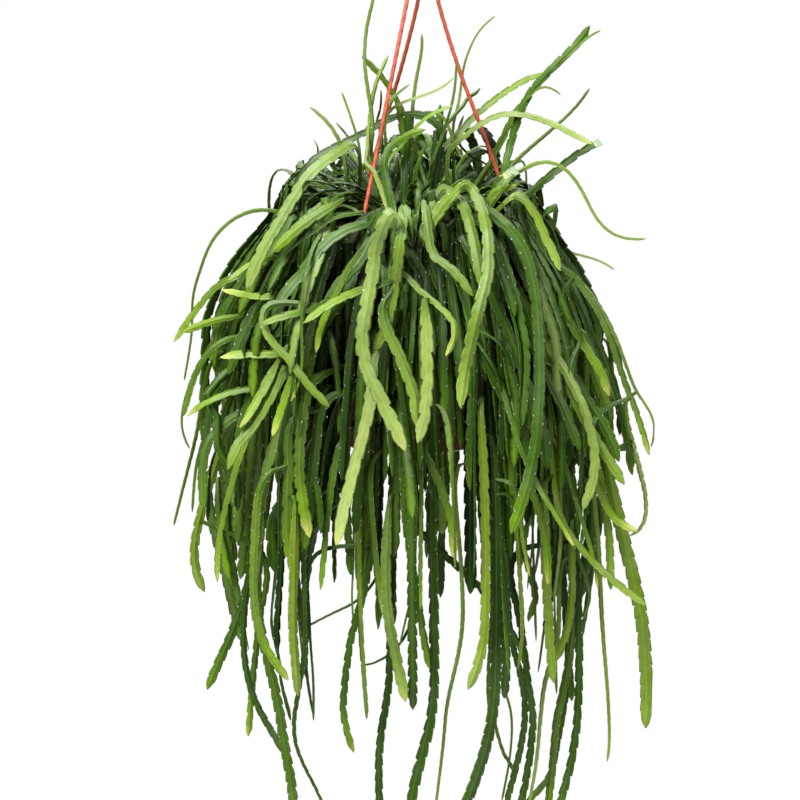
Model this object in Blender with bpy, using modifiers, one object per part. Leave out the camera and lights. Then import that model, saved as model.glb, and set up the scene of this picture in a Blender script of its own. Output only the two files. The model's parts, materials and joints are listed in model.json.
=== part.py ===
# A trailing cactus with flat, notched stems, in its hanging pot.
# Metres, +Z up, seen from the front along +Y. The origin is where the hook bears on its rail.

import math
import random

import bmesh
import bpy
from mathutils import Matrix, Vector
from mathutils.kdtree import KDTree

MM = 0.001
GAP = 0.3 * MM                      # left between pieces that touch
WELD = 0.01 * MM                    # points nearer than this are one in a turned or drawn shape
FUSED_WELD = 0.003 * MM             # and in a fused one

# Pot, saucer and soil, as radii and as heights from the rim's top, which is level 0 here
POT_AXIS_X = -9 * MM                # the pot hangs a little to the left of its hook
RIM_TOP_Z = -270 * MM
POT_HEIGHT = 153 * MM
RIM_RADIUS = 85 * MM
RIM_BAND = 9 * MM
RIM_THICKNESS = 3 * MM
WALL_TOP_RADIUS = 78 * MM
WALL_BASE_RADIUS = 54 * MM
WALL = 2.2 * MM
POT_FLOOR = 3 * MM
FOOT_RECESS = 2 * MM
DRAIN_RADIUS = 1.8 * MM
DRAIN_RING = 18 * MM
PEG_RADIUS = 3 * MM
PEG_RING = 32 * MM
SAUCER_RADIUS = 60 * MM
SAUCER_HEIGHT = 18 * MM
SAUCER_WALL = 2 * MM
SAUCER_FLOOR = 2.5 * MM
SOIL_TOP = -13 * MM
SOIL_CROWN = 3 * MM
SOCKET_DEPTH = 12 * MM
TURNED_STEPS = 24                   # sides of the pot, the saucer and the soil

# Hanger
STRAND_RADIUS = 1.6 * MM
STRAND_RING = 80.5 * MM
STRAND_ANGLES = {"strand_right": 0, "strand_front": -120, "strand_back": 120}
STRAND_SOCKETS = {"strand_front": -6.5 * MM, "strand_back": 0, "strand_right": 6.5 * MM}
STRAND_BOWS = {"strand_front": 0.5 * MM, "strand_back": 8 * MM, "strand_right": 6.2 * MM}
BUTTON_RADIUS = 2.6 * MM
BUTTON_HEIGHT = 3 * MM
YOKE_SIZE = Vector((24, 8, 14)) * MM
YOKE_TOP_Z = -51 * MM
YOKE_SOCKET_DEPTH = 8 * MM
HOOK_WIRE = 2.5 * MM
HOOK_INNER_RADIUS = 10.5 * MM
HOOK_SHANK = [(0, -54), (0, -42), (0.5, -36), (3, -30), (8, -24.5)]     # millimetres, from the yoke upwards
HOOK_ARC = (-40, 216, 17)           # degrees, from the shank round over the top to the open end

# Stems
FACED_TO_VIEWER = 1.4               # how strongly a stem placed by eye shows its broad face
NOTCH = 0.17                        # how far each second ring of a stem draws in
BASE_WIDTH = 3.4 * MM               # the round foot of a stem
STEM_CLEARANCE = 1.2 * MM           # from the planes between two clumps
POT_CLEARANCE = 6.5 * MM
SOIL_CLEAR = -4                     # lowest height of a stem over the soil, in millimetres
RIM_CLEAR = 9                       # and over the rim
SOIL_REACH = (56, 71)               # between these distances from the axis it climbs from one to the other
CROWN_MARGIN = 3                    # how near a crown's edge it may still dip into the crown
OVER_AGAIN = 4                      # a stem outside the rim is lifted over it by this much at most
STRAND_CLEARANCE = 3.8 * MM
STRAND_WIDE_BERTH = 7               # millimetres that a grown stem is meant to leave to a strand

# How the hand-placed stems were read: where the viewer stands and the lens's offsets
VIEW_DISTANCE = 2400                # millimetres, to the middle of the rim
VIEW_PITCH = math.radians(15)       # the viewer looks down by this much
RIM_RIGHT_OF_CENTRE = 8.25          # millimetres in the picture's own plane
RIM_ABOVE_CENTRE = 123.75

# Each clump of stems grows in a sector seen from the pot's axis, in degrees from +X
CLUMPS = {
    "stems_front": {"sector": (-135, -45), "crown": (0, -33), "radius": 22, "seed": 11},
    "stems_right": {"sector": (-45, 20), "crown": (37, -9), "radius": 19, "seed": 22},
    "stems_back_right": {"sector": (20, 90), "crown": (20, 30), "radius": 18.5, "seed": 33},
    "stems_back_left": {"sector": (90, 160), "crown": (-20, 30), "radius": 18.5, "seed": 44},
    "stems_left": {"sector": (160, 225), "crown": (-37, -9), "radius": 18, "seed": 55},
}

# Stems placed by eye, in millimetres: full width, depth at the first and the last point (towards
# the viewer is negative), then points as seen from the front, right of and above the rim's middle
PLACED = {
    "stems_front": [
        (4.5, -34, -44, [(-29, 54), (-28, 76), (-31, 101), (-34, 119), (-35, 136), (-33, 158),
                         (-25, 190)]),
        (5.5, -22, -20, [(-5, 64), (-7, 82), (-9, 97), (-11, 103)]),
        (5.0, -48, -36, [(-31, 60), (-31, 84), (-29, 104), (-25, 118), (-17, 135)]),
        (3.6, -20, -17, [(0, 66), (1, 90), (2, 104), (5, 123), (9, 142), (8, 151)]),
        (4.5, -24, -34, [(-20, 82), (-12, 97), (7, 104), (22, 109), (34, 118)]),
        (4.0, -34, -37, [(14, 48), (22, 70), (28, 88), (32, 103), (34, 117), (35, 130)]),
        (6.0, -38, -46, [(-20, 50), (-9, 64), (3, 80), (15, 91), (31, 97)]),
        (6.5, -50, -54, [(-21, 53), (-14, 67), (-5, 74), (11, 79)]),
        (7.0, -30, -34, [(-5, 40), (-4, 58), (-1, 74), (-4, 92)]),
        (5.0, -46, -50, [(2, 42), (6, 55), (10, 67)]),
        (8.0, -27, -22, [(24, 76), (20, 85), (5, 91), (-8, 90)]),
        (10.5, -66, -155, [(39, 37), (49, 29), (55, 14), (58, -8), (57, -33), (52, -50), (46, -76),
                           (39, -110), (37, -130)]),
        (9.5, -58, -128, [(22, 33), (32, 30), (41, 19), (46, 1), (50, -17), (53, -40)]),
        (9.5, -84, -128, [(70, 8), (85, -11), (93, -42), (96, -80), (96, -120), (94, -154), (87, -188),
                          (75, -224)]),
        (8.0, -118, -138, [(16, -17), (26, -20), (36, -31), (47, -46)]),
        (6.0, -128, -150, [(-4, -30), (8, -43), (22, -54), (32, -63), (34, -76), (26, -91)]),
        (11.0, -118, -162, [(-26, -8), (-29, -32), (-35, -62), (-37, -84), (-32, -104), (-20, -128),
                            (-4, -162)]),
        (11.5, -122, -142, [(-28, -90), (-30, -124), (-37, -152), (-45, -182), (-51, -210), (-56, -233)]),
        (10.0, -140, -152, [(-23, -58), (-12, -83), (-3, -104), (4, -125), (4, -143)]),
        (10.0, -142, -154, [(10, -49), (12, -76), (12, -104), (11, -130), (5, -156)]),
        (9.0, -122, -138, [(-8, -4), (-11, -28), (-15, -53), (-20, -72), (-28, -88)]),
        (8.0, -132, -146, [(-35, -41), (-53, -47), (-68, -56), (-81, -66)]),
        (8.0, -122, -124, [(-81, -57), (-98, -61), (-113, -67)]),
        (4.0, -62, -132, [(-53, 24), (-65, 5), (-74, -10), (-80, -34), (-82, -68), (-82, -104),
                          (-90, -125)]),
        (6.5, -112, -132, [(-110, -52), (-108, -76), (-92, -92), (-80, -109), (-61, -129)]),
        (7.0, -122, -128, [(-112, -184), (-117, -229), (-118, -272), (-112, -304), (-102, -320),
                           (-92, -334)]),
        (5.0, -106, -104, [(-78, -200), (-80, -270), (-80, -311), (-84, -341), (-88, -366), (-85, -388),
                           (-69, -420), (-58, -446)]),
        (6.5, -102, -96, [(-25, -150), (-27, -210), (-34, -262), (-44, -298), (-49, -330), (-51, -360),
                          (-43, -388)]),
        (8.0, -92, -78, [(-11, -150), (-12, -210), (-14, -270), (-15, -330), (-21, -376), (-21, -424),
                         (-19, -452)]),
        (12.0, -102, -94, [(14, -100), (16, -180), (16, -244), (18, -315), (15, -360), (7, -396),
                           (-3, -438)]),
        (7.5, -122, -112, [(-31, -170), (-28, -229), (-25, -258), (-20, -287)]),
        (8.5, -112, -112, [(-16, -200), (-19, -250), (-17, -286), (-10, -322), (-4, -350)]),
        (8.0, -110, -104, [(-8, -160), (-4, -212), (2, -255), (7, -287), (14, -325)]),
        (2.8, -98, -90, [(-14, -160), (-18, -236), (-36, -271), (-60, -284), (-84, -297)]),
        (8.0, -112, -110, [(52, -130), (55, -190), (56, -260), (54, -308), (43, -341)]),
        (9.0, -104, -98, [(62, -160), (64, -230), (64, -300), (62, -352), (54, -392), (36, -440)]),
        (3.5, -96, -88, [(33, -180), (37, -240), (39, -285), (36, -312), (27, -352), (24, -384),
                         (17, -436)]),
        (9.5, -114, -112, [(-90, -139), (-92, -184), (-93, -222), (-88, -250), (-84, -258)]),
        (9.0, -122, -122, [(-76, -112), (-82, -146), (-84, -172), (-81, -202), (-76, -227)]),
        (9.0, -112, -108, [(-65, -124), (-71, -158), (-76, -196), (-80, -236)]),
        (8.5, -108, -106, [(-55, -160), (-61, -199), (-65, -232), (-68, -266)]),
        (9.5, -116, -114, [(-87, -200), (-88, -252), (-88, -304), (-85, -346)]),
        (4.5, -102, -98, [(-74, -240), (-76, -290), (-73, -334), (-73, -364)]),
        (6.5, -102, -98, [(-46, -110), (-48, -154), (-49, -190), (-45, -255)]),
        (7.0, -120, -116, [(10, -161), (22, -188), (31, -218), (32, -242)]),
        (6.5, -102, -98, [(76, -200), (82, -262), (84, -296), (80, -326)]),
        (7.0, -110, -124, [(67, -110), (82, -158), (95, -188), (109, -211), (123, -233)]),
        (5.0, -112, -106, [(78, -190), (84, -228), (89, -256)]),
    ],
    "stems_right": [
        (8.0, 1, 28, [(17, 57), (29, 70), (41, 85), (58, 99), (72, 109), (88, 118), (101, 122)]),
        (6.5, -14, -6, [(69, 45), (73, 64), (79, 83), (86, 102), (97, 116), (112, 131), (129, 148),
                        (134, 157)]),
        (2.4, -8, -8, [(112, 128), (127, 143), (134, 150), (142, 153)]),
        (2.4, -12, -12, [(86, 100), (97, 113), (106, 111), (112, 105)]),
        (7.0, 4, -22, [(26, 59), (37, 70), (52, 83), (69, 91), (88, 90), (106, 84), (121, 76),
                       (136, 68)]),
        (3.2, 14, 22, [(68, 42), (80, 57), (95, 70), (110, 83), (124, 96), (134, 110)]),
        (4.0, 0, 8, [(16, 62), (29, 85), (41, 99), (52, 110)]),
        (3.2, 4, 12, [(31, 77), (34, 92), (37, 104), (38, 119), (41, 132), (46, 144), (52, 155), (63, 164)]),
        (8.5, -20, -4, [(72, 18), (88, 31), (110, 49), (127, 62), (142, 70)]),
        (12.0, -34, -36, [(57, 28), (63, 35), (70, 42), (79, 48)]),
        (4.2, -28, -46, [(72, 40), (85, 50), (99, 56), (112, 53), (122, 43), (130, 30), (137, 15),
                         (147, 3), (160, -3), (176, -3)]),
        (7.0, -32, -38, [(55, 28), (67, 33), (79, 36)]),
        (7.5, -36, -62, [(77, 29), (86, 25), (94, 14), (101, -2), (107, -14), (112, -27)]),
        (3.6, -4, 8, [(100, -4), (112, -12), (123, -14), (134, -17), (146, -21), (152, -26)]),
        (5.0, -30, -30, [(112, -20), (130, -38), (144, -58), (155, -80), (163, -102), (169, -118),
                         (180, -133), (183, -147), (180, -159)]),
        (7.0, -52, -50, [(114, -24), (130, -42), (142, -60), (152, -84), (160, -110), (170, -136),
                         (179, -165)]),
        (7.0, -72, -82, [(104, -120), (106, -170), (112, -212), (127, -234), (149, -257), (176, -278)]),
        (7.0, -62, -72, [(76, -240), (82, -290), (88, -338), (92, -362), (87, -404), (77, -448)]),
        (4.5, -42, -40, [(112, -250), (110, -305), (101, -332), (97, -362), (94, -396), (88, -430)]),
        (7.0, -32, -28, [(122, -230), (122, -290), (116, -334), (109, -364), (106, -402), (101, -442)]),
        (7.5, -58, -54, [(120, -170), (124, -244), (126, -310), (125, -362), (118, -404), (107, -440)]),
        (4.6, -46, -44, [(138, -170), (141, -240), (144, -300), (148, -350), (149, -383), (147, -395)]),
        (10.5, -62, -60, [(148, -170), (158, -222), (167, -258), (174, -295), (177, -345), (176, -370)]),
        (8.0, -84, -82, [(100, -190), (101, -244), (104, -300), (107, -336)]),
        (7.0, -66, -62, [(120, -220), (121, -270), (116, -300), (108, -320)]),
        (8.0, -72, -70, [(134, -140), (142, -184), (149, -230), (150, -266)]),
        (5.0, -34, -30, [(160, -130), (170, -170), (176, -195), (176, -213), (171, -224), (163, -226)]),
        (7.0, -78, -80, [(138, -182), (149, -209), (160, -219), (170, -222)]),
        (8.0, -86, -88, [(118, -110), (134, -145), (146, -165), (160, -187)]),
        (8.0, -84, -92, [(97, -71), (113, -98), (127, -124), (136, -152), (138, -178), (129, -206)]),
        (8.0, -72, -76, [(112, -49), (130, -83), (142, -101), (149, -121)]),
        (8.0, -64, -96, [(67, -30), (86, -68), (100, -101), (115, -131), (127, -162)]),
    ],
    "stems_left": [
        (10.5, -24, -72, [(-40, 68), (-53, 62), (-67, 54), (-80, 41), (-92, 22), (-103, 3), (-113, -14),
                          (-123, -41)]),
        (9.0, -42, -80, [(-58, 26), (-74, 15), (-89, 2), (-101, -13)]),
        (5.0, -10, -14, [(-50, 60), (-57, 77), (-66, 89), (-76, 96)]),
        (4.0, -14, -16, [(-38, 60), (-42, 78), (-47, 93), (-52, 107)]),
        (3.6, -14, -10, [(-83, 15), (-100, 18), (-115, 19), (-130, 14), (-143, 4), (-152, -9),
                         (-158, -26), (-164, -46), (-164, -71), (-167, -92), (-170, -109)]),
        (7.0, -34, -32, [(-125, -30), (-140, -34), (-154, -47), (-166, -62), (-178, -80)]),
        (7.0, -74, -72, [(-90, -44), (-112, -47), (-128, -44), (-142, -41)]),
        (9.5, -84, -84, [(-92, -88), (-112, -89), (-128, -89), (-143, -92)]),
        (6.0, -50, -46, [(-120, -58), (-140, -62), (-157, -67), (-171, -73)]),
        (6.5, -60, -58, [(-96, -17), (-112, -17), (-125, -24), (-137, -34)]),
        (7.5, -82, -88, [(-94, -104), (-108, -128), (-124, -154), (-134, -184), (-141, -210),
                         (-145, -236), (-145, -260)]),
        (7.5, -50, -58, [(-104, -160), (-112, -220), (-122, -262), (-134, -298), (-145, -322),
                         (-153, -341)]),
        (5.5, -62, -70, [(-112, -180), (-120, -240), (-126, -300), (-120, -342), (-107, -368),
                         (-94, -390)]),
        (8.0, -78, -84, [(-112, -230), (-116, -276), (-108, -316), (-100, -350), (-95, -382), (-90, -408),
                         (-82, -446)]),
        (6.0, -58, -60, [(-111, -75), (-130, -75), (-146, -82), (-158, -96), (-165, -114), (-171, -136)]),
        (9.0, -74, -76, [(-104, -113), (-124, -115), (-143, -120), (-158, -127), (-168, -136)]),
        (8.0, -68, -72, [(-98, -120), (-117, -128), (-134, -137), (-148, -149), (-156, -166),
                         (-156, -206)]),
        (4.0, -28, -30, [(-140, -70), (-155, -90), (-166, -112), (-172, -134), (-171, -150),
                         (-166, -160)]),
        (3.6, -18, -20, [(-146, -90), (-156, -122), (-161, -150), (-169, -182), (-178, -218)]),
        (4.6, -4, 0, [(-140, -110), (-153, -146), (-161, -172), (-164, -208)]),
        (7.5, -12, -10, [(-140, -150), (-154, -196), (-162, -228), (-162, -250), (-155, -268)]),
        (5.5, -50, -52, [(-110, -240), (-114, -290), (-119, -338), (-122, -376)]),
    ],
}

# How the other stems grow, in millimetres and degrees: straight foot, pitch at the foot, length of
# the bend, pitch at its end, whole length, full width, how far it may turn aside in radians
HABITS = {
    "lining": {"foot": (18, 26), "rise": (70, 84), "bend": (55, 80), "hang": (-90, -85),
               "length": (210, 380), "width": (9, 12), "drift": 0.12},
    "curtain": {"foot": (16, 30), "rise": (62, 82), "bend": (70, 150), "hang": (-88, -78),
                "length": (300, 470), "width": (7, 11), "drift": 0.35},
    "skirt": {"foot": (14, 30), "rise": (45, 75), "bend": (150, 260), "hang": (-84, -60),
              "length": (200, 340), "width": (6, 10.5), "drift": 0.5},
    "tuft": {"foot": (16, 40), "rise": (74, 90), "bend": (70, 160), "hang": (10, 60),
             "length": (80, 140), "width": (3.6, 7), "drift": 0.5},
    "branch": {"foot": (4, 10), "rise": (-50, 20), "bend": (40, 110), "hang": (-88, -66),
               "length": (80, 190), "width": (6, 10), "drift": 0.5},
}
BRANCHED_BELOW = 0                # a stem first seen lower than this may leave an older stem
BRANCH_HEIGHTS = (-200, -30)         # where a branch may leave its parent stem
GROWN = {
    "stems_front": [("lining", 11), ("tuft", 1), ("branch", 3)],
    "stems_right": [("lining", 4), ("branch", 5)],
    "stems_back_right": [("lining", 3), ("curtain", 5), ("skirt", 6), ("tuft", 2), ("branch", 8)],
    "stems_back_left": [("lining", 3), ("curtain", 5), ("skirt", 5), ("tuft", 2), ("branch", 8)],
    "stems_left": [("lining", 4), ("tuft", 1), ("branch", 6)],
}
# How far out the grown stems reach, in millimetres: height, then distance from the pot's axis
ENVELOPE = [(120, 50), (60, 80), (20, 108), (-20, 142), (-60, 163), (-220, 168), (-330, 150), (-450, 112)]
# The same as the photo shows it: height in the picture, then how far left and right of the rim's middle
SEEN_OUTLINE = [(64, 83, 67), (34, 95, 89), (15, 110, 100), (-11, 134, 113), (-41, 155, 130), (-71, 170, 151),
                (-109, 173, 170), (-146, 173, 183), (-221, 173, 176), (-341, 154, 142), (-416, 106, 112)]
TWIG_WIDTH = 3                      # a stem narrower than this grows from another one
LEAST_SPREAD = 0.6                  # of a grown stem sideways, when it is drawn in
GOLDEN = 0.618                      # spreads the stems' feet evenly inside a crown
DRAWS = 12                           # a grown stem is the best placed of this many
ROUTE_STEP = 6                      # millimetres between the points of a worked-out route
ROOTED = 3                          # points at a stem's foot that stay in what it grows from
SHIFT = 0.2 * MM
SHIFT_ATTEMPTS = 40
LAYER = 3.6                         # millimetres from the middle of one stem to that of the next over it
RING_SPACING = {"placed": 31, "grown": 40}
CHORD_EASE = 3.5                    # millimetres by which a straight piece may come nearer to the pot
CHORD_SLACK = 0.3
RING_SPARE = 1.0                    # millimetres by which each corner of a ring is ahead of the last


def clear_scene():
    for old in list(bpy.data.objects):
        bpy.data.objects.remove(old, do_unlink=True)


def finish_material(name, color, roughness):
    finish = bpy.data.materials.new(name)
    finish.use_nodes = True
    shader = finish.node_tree.nodes["Principled BSDF"]
    shader.inputs["Base Color"].default_value = (*color, 1)
    shader.inputs["Roughness"].default_value = roughness
    return finish


def put(mesh_or_curve, name, collection, finish=None):
    thing = bpy.data.objects.new(name, mesh_or_curve)
    collection.objects.link(thing)
    if finish:
        thing.data.materials.append(finish)
    return thing


def settle(thing, weld=WELD):
    # Applies an object's modifiers and turns a curve into a mesh with its caps welded on
    graph = bpy.context.evaluated_depsgraph_get()
    mesh = bpy.data.meshes.new_from_object(thing.evaluated_get(graph))
    shape = bmesh.new()
    shape.from_mesh(mesh)
    bmesh.ops.remove_doubles(shape, verts=shape.verts, dist=weld)
    shape.to_mesh(mesh)
    shape.free()
    name = thing.name
    place = thing.matrix_world.copy()
    collection = thing.users_collection[0]
    bpy.data.objects.remove(thing, do_unlink=True)
    solid = bpy.data.objects.new(name, mesh)
    solid.matrix_world = place
    collection.objects.link(solid)
    return solid


def turned(name, profile, steps, collection, finish, place):
    # A profile of radius and height, turned about the vertical
    mesh = bpy.data.meshes.new(name)
    shape = bmesh.new()
    points = [shape.verts.new((radius, 0, height)) for radius, height in profile]
    for upper, lower in zip(points, points[1:]):
        shape.edges.new((upper, lower))
    shape.to_mesh(mesh)
    shape.free()
    thing = put(mesh, name, collection, finish)
    thing.location = place
    screw = thing.modifiers.new("Turn", "SCREW")
    screw.steps = steps
    screw.render_steps = steps
    screw.use_merge_vertices = True
    screw.merge_threshold = 0.00001
    return thing


def drum(name, radius, low, high, place, collection, sides=12):
    # An upright cylinder between two heights
    mesh = bpy.data.meshes.new(name)
    shape = bmesh.new()
    bmesh.ops.create_cone(shape, cap_ends=True, segments=sides, radius1=radius, radius2=radius,
                          depth=high - low)
    bmesh.ops.translate(shape, verts=shape.verts, vec=(place[0], place[1], (high + low) / 2))
    shape.to_mesh(mesh)
    shape.free()
    return put(mesh, name, collection)


def cut_or_join(thing, others, operation, solver="EXACT"):
    # One Boolean on a collection of the other shapes, applied, with those shapes then removed
    batch = bpy.data.collections.new("batch")
    bpy.context.scene.collection.children.link(batch)
    for other in others:
        for home in list(other.users_collection):
            home.objects.unlink(other)
        batch.objects.link(other)
    boolean = thing.modifiers.new("Work", "BOOLEAN")
    boolean.operation = operation
    boolean.operand_type = "COLLECTION"
    boolean.collection = batch
    boolean.solver = solver
    bpy.context.view_layer.update()
    solid = settle(thing, FUSED_WELD)
    for other in list(batch.objects):
        bpy.data.objects.remove(other, do_unlink=True)
    bpy.data.collections.remove(batch)
    return solid


def main_body(thing):
    # Fills the hollows that fusing sealed and drops loose scraps: both are shells apart from the rest
    shape = bmesh.new()
    shape.from_mesh(thing.data)
    shape.faces.ensure_lookup_table()
    unseen = set(shape.faces)
    shells = []
    while unseen:
        shell = set()
        edge_of_search = [unseen.pop()]
        while edge_of_search:
            face = edge_of_search.pop()
            shell.add(face)
            for edge in face.edges:
                for neighbour in edge.link_faces:
                    if neighbour in unseen:
                        unseen.remove(neighbour)
                        edge_of_search.append(neighbour)
        shells.append(shell)
    main = max(shells, key=len)
    extra = [face for shell in shells if shell is not main for face in shell]
    bmesh.ops.delete(shape, geom=extra, context="FACES")
    shape.to_mesh(thing.data)
    shape.free()
    return thing


def ring_places(count, ring_radius, start=0.0):
    angles = [math.radians(start + 360 * index / count) for index in range(count)]
    return [(ring_radius * math.cos(angle), ring_radius * math.sin(angle)) for angle in angles]


def smooth_sides(thing):
    thing.data.shade_smooth()
    thing.data.set_sharp_from_angle(angle=math.radians(35))


def on_axis(height=0.0):
    return Vector((POT_AXIS_X, 0, RIM_TOP_Z + height))


# The pot, its saucer and the soil

def wall_radius_at(height):
    # The pot's outer wall, from under the rim down to its base
    share = -height / POT_HEIGHT
    return WALL_TOP_RADIUS + (WALL_BASE_RADIUS - WALL_TOP_RADIUS) * share


def make_pot(parts, finish):
    inner_floor = -POT_HEIGHT + FOOT_RECESS + POT_FLOOR
    flange_under = -RIM_THICKNESS
    profile = [
        (0, inner_floor),
        (wall_radius_at(inner_floor) - WALL, inner_floor),
        (wall_radius_at(flange_under) - WALL, flange_under),
        (WALL_TOP_RADIUS - WALL + 1 * MM, 0),
        (RIM_RADIUS - 1 * MM, 0),
        (RIM_RADIUS, -1 * MM),
        (RIM_RADIUS, -RIM_BAND),
        (RIM_RADIUS - 1.5 * MM, -RIM_BAND),
        (RIM_RADIUS - 1.5 * MM, flange_under),
        (wall_radius_at(flange_under), flange_under),
        (WALL_BASE_RADIUS, -POT_HEIGHT),
        (WALL_BASE_RADIUS - 3 * MM, -POT_HEIGHT),
        (WALL_BASE_RADIUS - 4 * MM, -POT_HEIGHT + FOOT_RECESS),
        (0, -POT_HEIGHT + FOOT_RECESS),
    ]
    pot = settle(turned("pot", profile, TURNED_STEPS, parts, finish, on_axis()))
    low = RIM_TOP_Z - POT_HEIGHT - 5 * MM
    high = RIM_TOP_Z - POT_HEIGHT + 9 * MM
    cutters = []
    for x, y in ring_places(6, DRAIN_RING, 30):
        cutters.append(drum("drain", DRAIN_RADIUS, low, high, (POT_AXIS_X + x, y), parts, 6))
    for x, y in ring_places(3, PEG_RING, 60):
        cutters.append(drum("peg hole", PEG_RADIUS + GAP, low, high, (POT_AXIS_X + x, y), parts, 8))
    for angle in STRAND_ANGLES.values():
        (x, y), = ring_places(1, STRAND_RING, angle)
        hole_low = RIM_TOP_Z - RIM_THICKNESS - 2 * MM
        cutters.append(drum("strand hole", STRAND_RADIUS + GAP, hole_low, RIM_TOP_Z + 2 * MM,
                            (POT_AXIS_X + x, y), parts, 8))
    pot = cut_or_join(pot, cutters, "DIFFERENCE")
    smooth_sides(pot)
    return pot


def make_saucer(parts, finish):
    foot = -POT_HEIGHT - GAP            # the pot's foot stands on the saucer's floor
    low = foot - SAUCER_FLOOR
    profile = [
        (0, foot),
        (SAUCER_RADIUS - SAUCER_WALL - 2 * MM, foot),
        (SAUCER_RADIUS - SAUCER_WALL, low + SAUCER_HEIGHT - 1 * MM),
        (SAUCER_RADIUS - SAUCER_WALL, low + SAUCER_HEIGHT),
        (SAUCER_RADIUS, low + SAUCER_HEIGHT),
        (SAUCER_RADIUS, low + SAUCER_HEIGHT - 2 * MM),
        (SAUCER_RADIUS - 2 * MM, low + 1 * MM),
        (SAUCER_RADIUS - 3 * MM, low),
        (0, low),
    ]
    saucer = settle(turned("saucer", profile, TURNED_STEPS, parts, finish, on_axis()))
    peg_top = RIM_TOP_Z - POT_HEIGHT + FOOT_RECESS + POT_FLOOR - GAP
    pegs = [drum("peg", PEG_RADIUS, RIM_TOP_Z + foot - 1 * MM, peg_top, (POT_AXIS_X + x, y), parts, 8)
            for x, y in ring_places(3, PEG_RING, 60)]
    saucer = cut_or_join(saucer, pegs, "UNION")
    smooth_sides(saucer)
    return saucer


def make_soil(parts, finish):
    low = -POT_HEIGHT + FOOT_RECESS + POT_FLOOR + GAP
    wall_gap = WALL + GAP * 1.2
    profile = [
        (0, SOIL_TOP + SOIL_CROWN),
        (30 * MM, SOIL_TOP + SOIL_CROWN * 0.8),
        (55 * MM, SOIL_TOP + SOIL_CROWN * 0.35),
        (wall_radius_at(SOIL_TOP) - wall_gap, SOIL_TOP),
        (wall_radius_at(low) - wall_gap, low),
        (0, low),
    ]
    soil = settle(turned("soil", profile, TURNED_STEPS, parts, finish, on_axis()))
    sockets = []
    for clump in CLUMPS.values():
        x, y = (value * MM for value in clump["crown"])
        radius = clump["radius"] * MM
        socket_low = RIM_TOP_Z + SOIL_TOP - SOCKET_DEPTH
        sockets.append(drum("socket", radius, socket_low, RIM_TOP_Z, (POT_AXIS_X + x, y), parts, 16))
    soil = cut_or_join(soil, sockets, "DIFFERENCE")
    smooth_sides(soil)
    return soil


# The hanger: a hook with a flat yoke, and three strands that end in buttons under the rim

def tube(name, points, radius, sides_level, parts):
    curve = bpy.data.curves.new(name, "CURVE")
    curve.dimensions = "3D"
    curve.bevel_depth = radius
    curve.bevel_resolution = sides_level
    curve.use_fill_caps = True
    curve.render_resolution_u = 0
    spline = curve.splines.new("POLY")
    spline.points.add(len(points) - 1)
    for control, point in zip(spline.points, points):
        control.co = (*point, 1)
    return put(curve, name, parts)


def smooth_line(points, steps):
    # A Catmull-Rom curve through the points
    padded = [points[0] * 2 - points[1], *points, points[-1] * 2 - points[-2]]
    line = []
    for before, start, end, after in zip(padded, padded[1:], padded[2:], padded[3:]):
        for step in range(steps):
            t = step / steps
            line.append(0.5 * (2 * start + (end - before) * t
                               + (2 * before - 5 * start + 4 * end - after) * t ** 2
                               + (3 * start - before - 3 * end + after) * t ** 3))
    line.append(points[-1].copy())
    return line


def strand_line(name):
    # From the button under the rim up to the yoke's socket, bowed slightly inwards
    (x, y), = ring_places(1, STRAND_RING, STRAND_ANGLES[name])
    foot = on_axis() + Vector((x, y, 0))
    top = Vector((STRAND_SOCKETS[name], 0, YOKE_TOP_Z - YOKE_SIZE.z))
    inward = -Vector((x, y, 0)).normalized() * STRAND_BOWS[name]
    points = [foot + Vector((0, 0, -RIM_THICKNESS - GAP - 1 * MM)), foot + Vector((0, 0, 3 * MM))]
    for share in (0.12, 0.35, 0.6, 0.85):
        points.append(foot.lerp(top, share) + inward * math.sin(math.pi * share ** 2.2))
    points.append(top)
    points.append(top + Vector((0, 0, YOKE_SOCKET_DEPTH - GAP)))
    return points


def make_strand(name, parts, finish):
    route = strand_line(name)
    strand = settle(tube(name, route, STRAND_RADIUS, 2, parts))
    foot = route[0]
    high = RIM_TOP_Z - RIM_THICKNESS - GAP
    button = drum("button", BUTTON_RADIUS, high - BUTTON_HEIGHT, high, (foot.x, foot.y), parts)
    strand = cut_or_join(strand, [button], "UNION")
    strand.data.materials.clear()
    strand.data.materials.append(finish)
    smooth_sides(strand)
    return strand


def make_hook(parts, finish):
    arc_radius = HOOK_INNER_RADIUS + HOOK_WIRE
    centre = Vector((0, 0, -HOOK_INNER_RADIUS))
    route = [Vector((across, 0, height)) * MM for across, height in HOOK_SHANK]
    for angle in range(*HOOK_ARC):
        turn = math.radians(angle)
        route.append(centre + arc_radius * Vector((math.cos(turn), 0, math.sin(turn))))
    hook = settle(tube("hook", route, HOOK_WIRE, 2, parts))
    mesh = bpy.data.meshes.new("yoke")
    shape = bmesh.new()
    bmesh.ops.create_cube(shape, size=1)
    bmesh.ops.scale(shape, verts=shape.verts, vec=YOKE_SIZE)
    bmesh.ops.bevel(shape, geom=shape.edges[:], offset=1.5 * MM, segments=1, profile=0.5, affect="EDGES")
    bmesh.ops.translate(shape, verts=shape.verts, vec=(0, 0, YOKE_TOP_Z - YOKE_SIZE.z / 2))
    shape.to_mesh(mesh)
    shape.free()
    yoke = put(mesh, "yoke", parts)
    hook = cut_or_join(hook, [yoke], "UNION")
    low = YOKE_TOP_Z - YOKE_SIZE.z
    sockets = [drum("socket", STRAND_RADIUS + GAP, low - 2 * MM, low + YOKE_SOCKET_DEPTH, (x, 0), parts, 8)
               for x in STRAND_SOCKETS.values()]
    hook = cut_or_join(hook, sockets, "DIFFERENCE")
    hook.data.materials.clear()
    hook.data.materials.append(finish)
    smooth_sides(hook)
    return hook


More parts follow.
